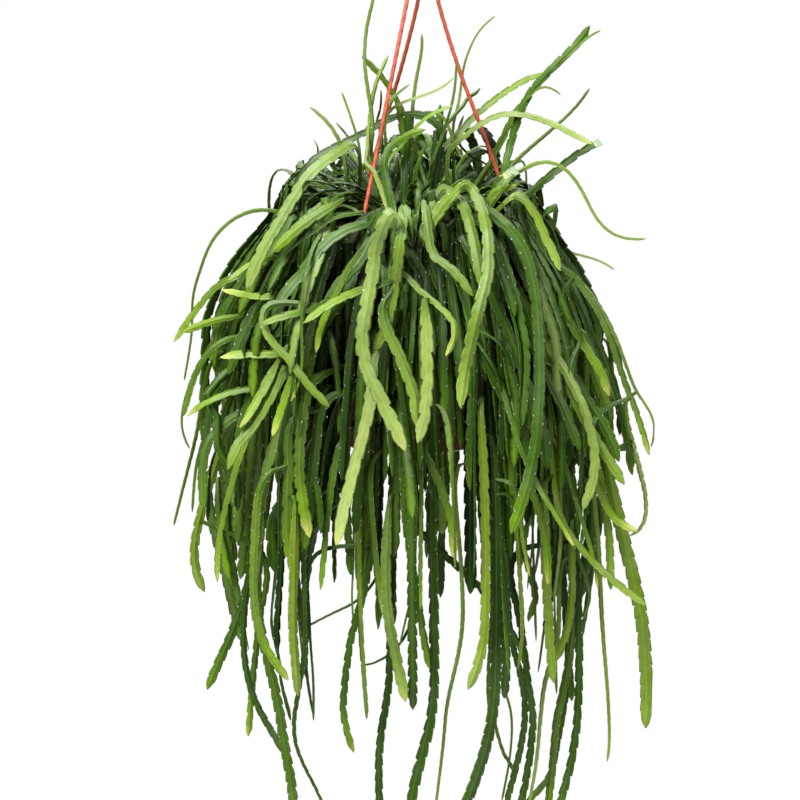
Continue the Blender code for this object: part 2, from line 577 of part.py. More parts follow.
# The stems. Their routes are worked out in millimetres from the middle of the rim's top.

def real_place(across, up, depth):
    # Where a point seen from the front, across and up from the rim's middle, lies at a given depth
    sine = math.sin(VIEW_PITCH)
    cosine = math.cos(VIEW_PITCH)
    height = up + RIM_ABOVE_CENTRE
    z = height * (depth * cosine + VIEW_DISTANCE) - (depth * sine + RIM_ABOVE_CENTRE) * VIEW_DISTANCE
    z /= cosine * VIEW_DISTANCE + height * sine
    share = (depth * cosine - z * sine + VIEW_DISTANCE) / VIEW_DISTANCE
    x = (across + RIM_RIGHT_OF_CENTRE) * share - RIM_RIGHT_OF_CENTRE
    return Vector((x, depth, z))


def sector_planes(clump):
    # Unit vectors that point into the clump's sector from its two bounding planes
    low, high = (math.radians(angle) for angle in clump["sector"])
    return Vector((-math.sin(low), math.cos(low), 0)), Vector((math.sin(high), -math.cos(high), 0))


def strand_lines_mm():
    origin = on_axis()
    return {name: [(point - origin) / MM for point in strand_line(name)[1:]] for name in STRAND_ANGLES}


STRANDS_MM = strand_lines_mm()


def nearest_on_strand(point, line):
    best = None
    for start, end in zip(line, line[1:]):
        along = end - start
        share = max(0, min(1, (point - start).dot(along) / along.length_squared))
        spot = start + along * share
        if best is None or (point - spot).length < (point - best).length:
            best = spot
    return best


def rim_crossing(line):
    # How many points of a line come before it first passes beyond the rim
    for index, point in enumerate(line):
        if math.hypot(point.x, point.y) >= (RIM_RADIUS + POT_CLEARANCE) / MM:
            return index
    return len(line)


def over_pot(point, clump, inside, ease=0):
    # Moves a point out of the soil and the pot: up while the stem is still inside the rim, and
    # outwards after that
    point = point.copy()
    span = math.hypot(point.x, point.y)
    rim = (RIM_RADIUS + POT_CLEARANCE) / MM - ease
    from_crown = math.hypot(point.x - clump["crown"][0], point.y - clump["crown"][1])
    if span >= rim or from_crown < clump["radius"] - CROWN_MARGIN:
        return point
    climb = min(1, max(0, (span - SOIL_REACH[0]) / (SOIL_REACH[1] - SOIL_REACH[0])))
    height = SOIL_CLEAR + (RIM_CLEAR - SOIL_CLEAR) * climb - ease
    if inside or height - OVER_AGAIN < point.z < height:
        point.z = max(point.z, height)
    elif point.z < height:
        point.x *= rim / span
        point.y *= rim / span
    return point


def bend_clear(point, half_width, clump, inside, ease=0):
    # Moves a point of a stem clear of the clump's neighbours, the strands and the pot
    point = point.copy()
    room = half_width + STEM_CLEARANCE / MM
    if point.z > -5:
        for line in STRANDS_MM.values():
            spot = nearest_on_strand(point, line)
            away = point - spot
            reach = half_width + STRAND_CLEARANCE / MM - ease / 3
            if away.length < reach:
                away.z = 0
                push = Vector((0, 1 if away.y >= 0 else -1, 0)) if away.length < 0.1 else away.normalized()
                point += push * (reach - away.length)
    point = over_pot(point, clump, inside, ease)
    for inward in sector_planes(clump):
        short = room - point.dot(inward)
        if short > 0:
            point += inward * short
    return point


def crown_foot(first, clump, rng):
    # A stem's foot inside its crown, on the side it leaves for
    crown = Vector((*clump["crown"], 0))
    away = Vector((first.x - crown.x, first.y - crown.y, 0))
    away = away.normalized() if away.length > 1 else Vector((0, -1, 0))
    foot = crown + away * clump["radius"] * rng.uniform(0.15, 0.6)
    foot.z = SOIL_TOP / MM - 3
    return foot, away


def lead_in(first, width, clump, stems, rng):
    # From the crown, or from an older stem that passes nearer, to the first point seen
    foot, away = crown_foot(first, clump, rng)
    best = (foot - first).length + 40
    parent = None
    if first.z < BRANCHED_BELOW or width < TWIG_WIDTH:
        for stem in stems:
            if stem["width"] < 4.5:
                continue
            usable = stem["line"][6:-8]
            for point in usable:
                lower = max(0, first.z - point.z + 4)
                cost = (point - first).length + 2 * lower + 6
                if cost < best:
                    best = cost
                    parent = point
    if parent is not None:
        return [parent.copy()]
    lift = foot + away * 3
    lift.z = SOIL_TOP / MM + 16
    points = [foot, lift]
    if first.z < 26:
        shoulder = lift.lerp(first, 0.5)
        shoulder.z = max(24, first.z) + rng.uniform(4, 20)
        points.append(shoulder)
        reach = math.hypot(first.x, first.y)
        if first.z < -30:
            over = first * (max(reach, 104) / reach)
            over.z = rng.uniform(2, 10)
            points.append(over)
    return points


def placed_route(spec, clump, stems, rng):
    width, near, far, seen = spec
    points = []
    for index, (across, up) in enumerate(seen):
        share = index / (len(seen) - 1)
        eased = 1 - (1 - share) ** 1.6
        points.append(real_place(across, up, near + (far - near) * eased))
    return smooth_line(lead_in(points[0], width, clump, stems, rng) + points, 6)


def grown_route(habit_name, azimuth, clump, stems, rng):
    # A stem that rises from its crown, or leaves an older stem, and bends over under its own weight
    habit = HABITS[habit_name]
    foot_length = rng.uniform(*habit["foot"])
    rise = rng.uniform(*habit["rise"])
    bend = rng.uniform(*habit["bend"])
    hang = rng.uniform(*habit["hang"])
    length = rng.uniform(*habit["length"])
    drift = rng.uniform(-habit["drift"], habit["drift"])
    sway = rng.uniform(-6, 6)
    phase = rng.uniform(0, math.tau)
    if habit_name == "branch":
        root_share = rng.random()
        forks = [point for stem in stems if stem["width"] > 5 for point in stem["line"][8:-10]
                 if BRANCH_HEIGHTS[0] < point.z < BRANCH_HEIGHTS[1]]
        point = forks[int(root_share * len(forks))].copy()
        azimuth = math.atan2(point.y, point.x) + drift * 1.6
    else:
        crown = Vector((*clump["crown"], 0))
        outward = Vector((math.cos(azimuth), math.sin(azimuth), 0)) * RIM_RADIUS / MM - crown
        outward.normalize()
        azimuth = math.atan2(outward.y, outward.x)
        root_share = len(stems) * GOLDEN % 1
        point = crown + outward * clump["radius"] * (0.1 + 0.5 * root_share)
        point.z = SOIL_TOP / MM - 3
    line = [point.copy()]
    travelled = 0
    while travelled < length:
        share = max(0, min(1, (travelled - foot_length) / bend))
        eased = share * share * (3 - 2 * share)
        pitch = math.radians(rise + (hang - rise) * (0.35 * share + 0.65 * eased))
        turn = azimuth + drift * share + math.radians(sway) * math.sin(travelled / 70 + phase)
        ahead = Vector((math.cos(pitch) * math.cos(turn), math.cos(pitch) * math.sin(turn), math.sin(pitch)))
        point += ROUTE_STEP * ahead
        line.append(point.copy())
        travelled += ROUTE_STEP
    return line, rng.uniform(*habit["width"])


def distances_along(line):
    distances = [0.0]
    for start, end in zip(line, line[1:]):
        distances.append(distances[-1] + (end - start).length)
    return distances


def points_at(line, targets):
    # The line's points at the given distances along it, which rise
    distances = distances_along(line)
    points = []
    segment = 0
    for target in targets:
        while segment < len(line) - 2 and distances[segment + 1] < target:
            segment += 1
        span = distances[segment + 1] - distances[segment]
        share = (target - distances[segment]) / span if span else 0
        points.append(line[segment].lerp(line[segment + 1], share))
    return points


def even_targets(line, spacing):
    length = distances_along(line)[-1]
    count = max(3, round(length / spacing))
    return [length * index / count for index in range(count + 1)]


def ring_targets(stem, spacing):
    # Even distances, with more of them where a straight piece would cut through the soil, the rim
    # or a strand
    line = stem["line"]
    half = max(stem["width"], BASE_WIDTH / MM) / 2
    crossed = (distances_along(line) + [math.inf])[rim_crossing(line)]
    targets = even_targets(line, spacing)
    for _ in range(4):
        points = points_at(line, targets)
        finer = [targets[0]]
        for start, end, low, high in zip(points, points[1:], targets, targets[1:]):
            worst = 0
            for share in (0.2, 0.4, 0.6, 0.8):
                point = start.lerp(end, share)
                clear = bend_clear(point, half, stem["clump"], low < crossed, CHORD_EASE)
                worst = max(worst, (clear - point).length)
            if worst > CHORD_SLACK:
                finer.append((low + high) / 2)
            finer.append(high)
        targets = finer
    return targets


def kept_clear(line, width, clump):
    over = rim_crossing(line)
    half = max(width, BASE_WIDTH / MM) / 2
    moved = [bend_clear(point, half, clump, index < over) for index, point in enumerate(line)]
    return line[:ROOTED] + moved[ROOTED:]


def eased_line(line):
    middle = [(before + 2 * point + after) / 4
              for before, point, after in zip(line[ROOTED - 1:], line[ROOTED:], line[ROOTED + 1:])]
    return line[:ROOTED] + middle + line[-1:]


def cleared(line, width, clump):
    # The whole line bent clear, then eased so that no kink is left
    line = kept_clear(points_at(line, even_targets(line, ROUTE_STEP)), width, clump)
    for _ in range(3):
        line = eased_line(line)
    return kept_clear(line, width, clump)


def reach_at(height):
    # The plant's outline as turned about the pot's axis
    if height >= ENVELOPE[0][0]:
        return ENVELOPE[0][1]
    for (high, outer), (low, inner) in zip(ENVELOPE, ENVELOPE[1:]):
        if height >= low:
            return inner + (outer - inner) * (height - low) / (high - low)
    return ENVELOPE[-1][1]


def seen_outside(point):
    # How far a point lies outside the plant's outline as seen from the front
    up = point.z * math.cos(VIEW_PITCH) + point.y * math.sin(VIEW_PITCH)
    high = SEEN_OUTLINE[0]
    left, right = SEEN_OUTLINE[-1][1:]
    if up >= high[0]:
        left, right = high[1:]
    for high, low in zip(SEEN_OUTLINE, SEEN_OUTLINE[1:]):
        if low[0] <= up < high[0]:
            share = (up - low[0]) / (high[0] - low[0])
            left = low[1] + (high[1] - low[1]) * share
            right = low[2] + (high[2] - low[2]) * share
    return max(0, point.x - right, -left - point.x)


def trespass(line, width, clump):
    # How far a line is from lying clear of its neighbours and inside the plant's outline
    kept = kept_clear(line, width, clump)
    moved = [(clear - point).length for clear, point in zip(kept[ROOTED:], line[ROOTED:])]
    outside = [max(0, math.hypot(point.x, point.y) - reach_at(point.z), seen_outside(point)) for point in line]
    strand_room = width / 2 + STRAND_WIDE_BERTH
    for point in line:
        if point.z > -10:
            for strand in STRANDS_MM.values():
                strand_room = min(strand_room, (point - nearest_on_strand(point, strand)).length)
    tight = width / 2 + STRAND_WIDE_BERTH - strand_room
    return sum(moved) / len(moved) + 0.6 * max(outside) + sum(outside) / len(outside) + 2 * tight


def tree_of(stems):
    points = [(point, stem["width"] / 2) for stem in stems for point in stem["line"]]
    tree = KDTree(max(1, len(points)))
    for number, (point, _) in enumerate(points):
        tree.insert(point, number)
    if not points:
        tree.insert(Vector((0, 0, 9999)), 0)
        points.append((Vector((0, 0, 9999)), 0))
    tree.balance()
    return tree, [half for _, half in points]


def passed_over(line, width, stems, to_viewer):
    # Lifts a stem outwards over those already placed, so that it lies on them and doesn't cross them
    tree, halves = tree_of(stems)
    lifts = [0.0] * len(line)
    ways = []
    for point in line:
        flat = Vector((point.x, point.y, 0))
        radial = flat.normalized() if flat.length > 12 else Vector((0, -1, 0))
        ways.append(Vector((0, -0.966, 0.259)) if to_viewer else radial)
    for _ in range(5):
        for index in range(ROOTED, len(line)):
            spot = line[index] + ways[index] * lifts[index]
            for near, number, _ in tree.find_range(spot, 14):
                away = line[index] + ways[index] * lifts[index] - near
                height = away.dot(ways[index])
                beside = (away - ways[index] * height).length
                if beside < (width / 2 + halves[number]) * 0.9 and abs(height) < LAYER:
                    lifts[index] += LAYER - height
        wide = [max(lifts[max(0, index - 1):index + 2]) for index in range(len(lifts))]
        lifts = [sum(wide[max(0, index - 1):index + 2]) / len(wide[max(0, index - 1):index + 2])
                 for index in range(len(wide))]
        for index in range(ROOTED):
            lifts[index] = 0.0
    return [point + way * lift for point, way, lift in zip(line, ways, lifts)]


def add_stem(stems, line, width, kind, clump, rng):
    line = passed_over(cleared(line, width, clump), width, stems, kind == "placed")
    line = kept_clear(line, width, clump)
    spread = 0.4 if kind == "placed" else 0.9
    stems.append({"line": line, "width": width, "kind": kind, "clump": clump,
                  "turn": rng.uniform(-spread, spread)})


def kept_in_view(line):
    # Draws a line in sideways, towards its foot, where it would leave the plant's outline as seen
    # from the front
    foot = line[0].x
    share = 1
    for point in line:
        outside = seen_outside(point)
        if outside > 0:
            share = min(share, max(LEAST_SPREAD, 1 - outside / max(1, abs(point.x - foot))))
    return [Vector((foot + (point.x - foot) * share, point.y, point.z)) for point in line]


def grow_stems(stems, habit_name, count, clump, rng):
    # Spreads stems of one habit over the sector, each the draw that has most room round it
    low, high = clump["sector"]
    tree, _ = tree_of(stems)
    for index in range(count):
        best = None
        for _ in range(DRAWS):
            share = (index + rng.uniform(0.1, 0.9)) / count
            azimuth = math.radians(low + 3 + (high - low - 6) * share)
            line, width = grown_route(habit_name, azimuth, clump, stems, rng)
            line = kept_in_view(line)
            spaces = [tree.find(point)[2] for point in line[5:]]
            room = sum(min(12, space) for space in spaces) / len(spaces)
            touching = sum(1 for space in spaces if space < width / 2 + 2)
            score = room - 1.5 * trespass(line, width, clump) - 0.5 * touching
            if best is None or score > best[0]:
                best = (score, line, width)
        add_stem(stems, best[1], best[2], "grown", clump, rng)
        tree, _ = tree_of(stems)


def stem_routes(name):
    # All stems of a clump, from the inside out: those against the pot, those placed by eye from
    # the far ones to the near ones, then the rest
    clump = CLUMPS[name]
    rng = random.Random(clump["seed"])
    stems = []
    lining, *others = GROWN[name]
    grow_stems(stems, *lining, clump, rng)
    for spec in sorted(PLACED.get(name, []), key=lambda spec: -spec[2]):
        add_stem(stems, placed_route(spec, clump, stems, rng), spec[0], "placed", clump, rng)
    for habit_name, count in others:
        grow_stems(stems, habit_name, count, clump, rng)
    return stems


def stem_frames(stem, spacing):
    # Centre, side, face and forward directions at each ring along a stem. The face is carried back
    # from the tip, where it looks outwards, without sudden turns.
    points = points_at(stem["line"], ring_targets(stem, spacing))
    whole = points[-1] - points[0]
    outward = Vector((whole.x, whole.y, 0))
    outward = outward.normalized() if outward.length > 5 else Vector((0, -1, 0))
    sideways = Vector((-outward.y, outward.x, 0))
    to_viewer = Vector((0, -1, 0.27)) * (FACED_TO_VIEWER if stem["kind"] == "placed" else 0)
    last = len(points) - 1
    aheads = [(points[min(index + 1, last)] - points[max(index - 1, 0)]).normalized()
              for index in range(last + 1)]
    frames = []
    face = None
    for index in range(last, -1, -1):
        ahead = aheads[index]
        wanted = ahead.cross(sideways) + to_viewer
        wanted = (wanted - ahead * wanted.dot(ahead)).normalized()
        if face is None:
            face = wanted
        else:
            face = aheads[index + 1].rotation_difference(ahead) @ face
            if wanted.dot(face) > -0.2:
                face = face + wanted * 0.5
            face = (face - ahead * face.dot(ahead)).normalized()
        twist = Matrix.Rotation(stem["turn"] * (0.4 + index / last), 3, ahead)
        frames.append((points[index], twist @ ahead.cross(face), twist @ face, ahead))
    return unfolded(frames[::-1], max(stem["width"], BASE_WIDTH / MM) / 2)


def unfolded(frames, half):
    # Leaves out the rings that would cross the ring before them at a sharp bend
    kept = [frames[0]]
    for frame in frames[1:]:
        while len(kept) > 1 and crosses(kept[-1], frame, half) and frame is frames[-1]:
            kept.pop()
        if not crosses(kept[-1], frame, half) or frame is frames[-1]:
            kept.append(frame)
    return kept


def crosses(frame, later, half):
    centre, side, face, ahead = frame
    next_centre, next_side, next_face, next_ahead = later
    if (next_centre - centre).length > 2.2 * half:
        return False
    for across, out in ((half, 0), (-half, 0), (0, half * 0.5), (0, -half * 0.5)):
        step = next_centre + next_side * across + next_face * out - centre - side * across - face * out
        if min(step.dot(ahead), step.dot(next_ahead)) < RING_SPARE:
            return True
    return False


def stem_mesh(stem):
    # A blade of three-cornered section, ribbed on its outer face and flat behind: round foot, full
    # width, edges drawn in by turns, blunt tip
    frames = stem_frames(stem, RING_SPACING[stem["kind"]])
    last = len(frames) - 1
    base = BASE_WIDTH / MM
    shape = bmesh.new()
    rings = []
    for index, (centre, side, face, _) in enumerate(frames):
        share = index / last
        grown = min(1, max(0, (share - 0.04) / 0.2))
        width = base + (max(stem["width"], 2.8) - base) * grown
        left = right = width / 2
        if index % 2:
            left *= 1 - NOTCH
        else:
            right *= 1 - NOTCH
        rib = max(1.7, 0.24 * width)
        if index == last:
            left *= 0.45
            right *= 0.45
            rib *= 0.7
        back = face * rib * 0.35
        ring = [centre + side * right - back, centre + face * rib * 0.65, centre - side * left - back]
        rings.append([shape.verts.new(on_axis() + corner * MM) for corner in ring])
    for lower, upper in zip(rings, rings[1:]):
        shape.faces.new((lower[0], upper[0], upper[1]))
        shape.faces.new((lower[0], upper[1], lower[1]))
        shape.faces.new((lower[2], upper[1], upper[2]))
        shape.faces.new((lower[2], lower[1], upper[1]))
        shape.faces.new((lower[0], lower[2], upper[2]))
        shape.faces.new((lower[0], upper[2], upper[0]))
    shape.faces.new((rings[0][0], rings[0][1], rings[0][2]))
    shape.faces.new((rings[-1][2], rings[-1][1], rings[-1][0]))
    bmesh.ops.recalc_face_normals(shape, faces=shape.faces)
    mesh = bpy.data.meshes.new("stem")
    shape.to_mesh(mesh)
    shape.free()
    return mesh


def make_crown(name, clump, parts, finish):
    # The rooted foot of a clump: a plug that stands in the soil's socket, with a low dome on it
    x, y = clump["crown"]
    radius = clump["radius"] - GAP / MM
    low = SOIL_TOP / MM - SOCKET_DEPTH / MM + GAP / MM
    soil_level = SOIL_TOP / MM
    profile = [(0, soil_level + 15), (radius * 0.6, soil_level + 12), (radius * 0.92, soil_level + 5),
               (radius, soil_level - 1), (radius, low), (0, low)]
    profile = [(across * MM, height * MM) for across, height in profile]
    return settle(turned(name, profile, 16, parts, finish, on_axis() + Vector((x, y, 0)) * MM))


def is_sound(thing):
    # Every edge joins two faces, and no two parts of the surface meet in one point
    shape = bmesh.new()
    shape.from_mesh(thing.data)
    sound = all(edge.is_manifold for edge in shape.edges) and all(vert.is_manifold for vert in shape.verts)
    shape.free()
    return sound


def make_clump(name, parts, finish):
    # Each stem is shifted by a hair, so that no two lie in exactly one plane; where two edges still
    # fall together, the shifts are drawn again
    stems = stem_routes(name)
    for attempt in range(SHIFT_ATTEMPTS):
        rng = random.Random(CLUMPS[name]["seed"] + attempt)
        crown = make_crown(name, CLUMPS[name], parts, finish)
        blades = []
        for stem in stems:
            blade = put(stem_mesh(stem), "blade", parts)
            blade.location = Vector([rng.uniform(-SHIFT, SHIFT) for _ in range(3)])
            blades.append(blade)
        clump = main_body(cut_or_join(crown, blades, "UNION", "MANIFOLD"))
        if is_sound(clump):
            return clump
        print(name, "has its shifts drawn again")
        bpy.data.objects.remove(clump, do_unlink=True)
    raise RuntimeError(name + " has edges that fall together, whatever its stems' shifts")


def make_all():
    clear_scene()
    parts = bpy.data.collections.new("hanging cactus")
    bpy.context.scene.collection.children.link(parts)
    pot_brown = finish_material("pot plastic", (0.16, 0.05, 0.03), 0.4)
    saucer_brown = finish_material("saucer plastic", (0.22, 0.06, 0.03), 0.4)
    soil_dark = finish_material("potting soil", (0.03, 0.02, 0.015), 0.95)
    hanger_red = finish_material("hanger plastic", (0.62, 0.12, 0.05), 0.45)
    green = finish_material("stem green", (0.07, 0.16, 0.03), 0.4)
    make_pot(parts, pot_brown)
    make_saucer(parts, saucer_brown)
    make_soil(parts, soil_dark)
    make_hook(parts, hanger_red)
    for name in STRAND_ANGLES:
        make_strand(name, parts, hanger_red)
    for name in CLUMPS:
        make_clump(name, parts, green)


make_all()
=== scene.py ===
import json
import math
import random

import bmesh
import bpy
from mathutils import Matrix, Vector
from mathutils.kdtree import KDTree

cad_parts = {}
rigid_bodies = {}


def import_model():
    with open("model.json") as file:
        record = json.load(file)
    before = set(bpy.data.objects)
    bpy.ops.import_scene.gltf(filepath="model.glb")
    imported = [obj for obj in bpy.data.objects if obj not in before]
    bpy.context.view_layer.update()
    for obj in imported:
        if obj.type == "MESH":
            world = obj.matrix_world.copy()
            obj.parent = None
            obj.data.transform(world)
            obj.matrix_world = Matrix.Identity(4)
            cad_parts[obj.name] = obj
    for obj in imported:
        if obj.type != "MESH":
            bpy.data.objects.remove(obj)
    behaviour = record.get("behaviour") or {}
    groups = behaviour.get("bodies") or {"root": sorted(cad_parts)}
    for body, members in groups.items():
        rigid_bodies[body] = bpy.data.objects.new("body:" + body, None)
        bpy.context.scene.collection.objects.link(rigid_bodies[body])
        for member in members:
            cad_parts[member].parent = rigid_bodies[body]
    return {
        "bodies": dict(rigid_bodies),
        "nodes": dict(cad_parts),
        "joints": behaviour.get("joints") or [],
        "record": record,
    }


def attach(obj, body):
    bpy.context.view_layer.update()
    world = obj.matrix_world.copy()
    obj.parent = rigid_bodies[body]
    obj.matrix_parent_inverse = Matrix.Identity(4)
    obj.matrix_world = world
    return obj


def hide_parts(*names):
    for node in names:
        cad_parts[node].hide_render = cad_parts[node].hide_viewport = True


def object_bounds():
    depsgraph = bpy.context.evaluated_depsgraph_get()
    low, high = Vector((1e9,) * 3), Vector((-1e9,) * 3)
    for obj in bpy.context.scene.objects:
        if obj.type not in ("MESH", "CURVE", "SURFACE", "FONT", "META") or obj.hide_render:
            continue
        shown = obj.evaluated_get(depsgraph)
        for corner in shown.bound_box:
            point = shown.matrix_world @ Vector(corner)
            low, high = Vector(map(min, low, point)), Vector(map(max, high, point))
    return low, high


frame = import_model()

# A trailing cactus with flat, notched stems in its hanging pot. The plant's own sums are in
# millimetres from the middle of the rim's top, and mm turns them into metres.

mm = 0.001
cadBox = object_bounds()
scene = bpy.context.scene

pot = {
    "axisX": -9,
    "rimTop": -270,
    "rimRadius": 85,
    "rimThickness": 3,
    "soilTop": -13,
}

hanger = {
    "strandRing": 80.5,
    "strandAngles": {"strand_right": 0, "strand_front": -120, "strand_back": 120},
    "sockets": {"strand_front": -6.5, "strand_back": 0, "strand_right": 6.5},
    "bows": {"strand_front": 0.5, "strand_back": 8, "strand_right": 6.2},
    "bowAt": (0.12, 0.35, 0.6, 0.85),   # where the bow is shaped, as shares of the way up
    "bowHigh": 2.2,                 # over 1 the bow is fullest above the middle
    "stub": (1.3, 3),               # how far a strand runs straight below and above the rim
    "socketGap": 0.3,
    "strandRadius": 1.6,
    "sides": 12,
    "ringStep": 0.9,
    "ridges": 3,
    "ridge": 0.16,                  # how deep the strand's twisted ridges are, as a share of its radius
    "twistPitch": 9,                # millimetres from one ridge to the next
    "buttonRadius": 2.6,
    "buttonHeight": 3,
    "buttonGap": 0.3,
    "yokeTop": -51,
    "yokeHeight": 14,
    "yokeSocket": 8,
}

view = {
    "distance": 2400,               # millimetres from the lens to the middle of the rim
    "pitch": math.radians(15),
    "rimRight": 8.25,               # the rim's middle, right of and above the picture's centre
    "rimAbove": 123.75,
    "lens": 144,
}


def rimMiddle(offset=(0, 0, 0)):
    return Vector((pot["axisX"] + offset[0], offset[1], pot["rimTop"] + offset[2])) * mm


def makeCamera():
    sine, cosine = math.sin(view["pitch"]), math.cos(view["pitch"])
    ahead = Vector((0, cosine, -sine))
    above = Vector((0, sine, cosine))
    spot = rimMiddle() - ahead * view["distance"] * mm - above * view["rimAbove"] * mm
    spot.x -= view["rimRight"] * mm
    lens = bpy.data.cameras.new("camera")
    lens.lens = view["lens"]
    lens.sensor_width = 36
    lens.clip_end = 50
    camera = bpy.data.objects.new("camera", lens)
    camera.location = spot
    camera.rotation_euler = (math.radians(90) - view["pitch"], 0, 0)
    scene.collection.objects.link(camera)
    scene.camera = camera


makeCamera()
print("camera set")


# How the stems grow. These rules give the same stems as the solids that they replace.

growth = {
    "facedToViewer": 1.4,           # how strongly a listed stem shows its broad face
    # How far a stem's face may be turned aside, in radians
    "turned": {"placed": 0.4, "grown": 0.9, "fan": 0.5, "twig": 0.3, "filler": 0.9},
    "baseWidth": 3.4,               # every stem's width at its foot
    "stemClearance": 1.2,
    "potClearance": 6.5,
    "soilClear": -4,
    "rimClear": 9,
    "soilReach": (56, 71),          # where a stem starts and ends its climb from the soil to the rim
    "crownMargin": 3,
    "overAgain": 4,
    "strandClearance": 3.8,
    "strandWideBerth": 7,
    "branchedBelow": 0,
    "branchHeights": (-200, -30),
    "twigWidth": 3,                 # a stem narrower than this grows from another one
    "leastSpread": 0.6,             # of a grown stem sideways, when it is drawn in
    "strandsAbove": -5,             # the strands are out of a stem's way below this
    "wideStrandsAbove": -10,
    "golden": 0.618,                # spreads the feet in a crown
    "crownRing": (0.1, 0.5),        # how far out in its crown a stem stands at least, and how much more
    "forkWidth": 5,                 # no stem branches from a narrower one
    "forkPart": slice(8, -10),
    "bendShape": (0.35, 0.65),      # how much of the bend is even, and how much is eased
    "draws": 12,
    "step": 6,
    "rooted": 3,                    # points at the foot that stay where they are
    "layer": 3.6,                   # how far apart stems lie that pass over each other
    "spacing": {"placed": 31, "others": 40},
    "chordEase": 3.5,               # what a straight piece between two rings may cut
    "chordSlack": 0.3,
    "sway": 6,                      # degrees to either side
    "swayLength": 70,
    "branchDrift": 1.6,             # how far a branch turns aside, as a multiple of its drift
    "edge": 3,                      # degrees that stems keep from the edges of their sector
    "enough": 12,                   # more room than this round a stem gains nothing
    "touching": (2, 0.5),           # how near counts as touching, and how much that counts
    "trespass": 1.5,                # how much it counts that a stem stands where it shouldn't
    "farthest": 0.6,                # and its worst point, beside the mean
    "tight": 2,                     # and how close it comes to a strand
    "viewerWay": (0, -0.966, 0.259),    # in which a listed stem passes over others
    "faceWay": (0, -1, 0.27),           # to which it turns its face
    "faceFollows": (-0.2, 0.5),     # how far off its aim a face may be to be drawn to it, and how much
    "turnedAtFoot": 0.4,            # the share of a stem's turn at its foot
    "overReach": 14,                # how far round a stem others are looked for
    "beside": 0.9,                  # the share of two half widths within which stems lie over each other
    "envelope": [(120, 50), (60, 80), (20, 108), (-20, 142), (-60, 163), (-220, 168), (-330, 150),
                 (-450, 112)],
    # As the photo shows it: height in the picture, then how far left and right of the rim's middle
    "seenOutline": [(64, 83, 67), (34, 95, 89), (15, 110, 100), (-11, 134, 113), (-41, 155, 130),
                    (-71, 170, 151), (-109, 173, 170), (-146, 173, 183), (-221, 173, 176),
                    (-341, 154, 142), (-416, 106, 112)],
}

clumps = {
    "front": {"sector": (-135, -45), "crown": (0, -33), "radius": 22, "seed": 11},
    "right": {"sector": (-45, 20), "crown": (37, -9), "radius": 19, "seed": 22},
    "back_right": {"sector": (20, 90), "crown": (20, 30), "radius": 18.5, "seed": 33},
    "back_left": {"sector": (90, 160), "crown": (-20, 30), "radius": 18.5, "seed": 44},
    "left": {"sector": (160, 225), "crown": (-37, -9), "radius": 18, "seed": 55},
}
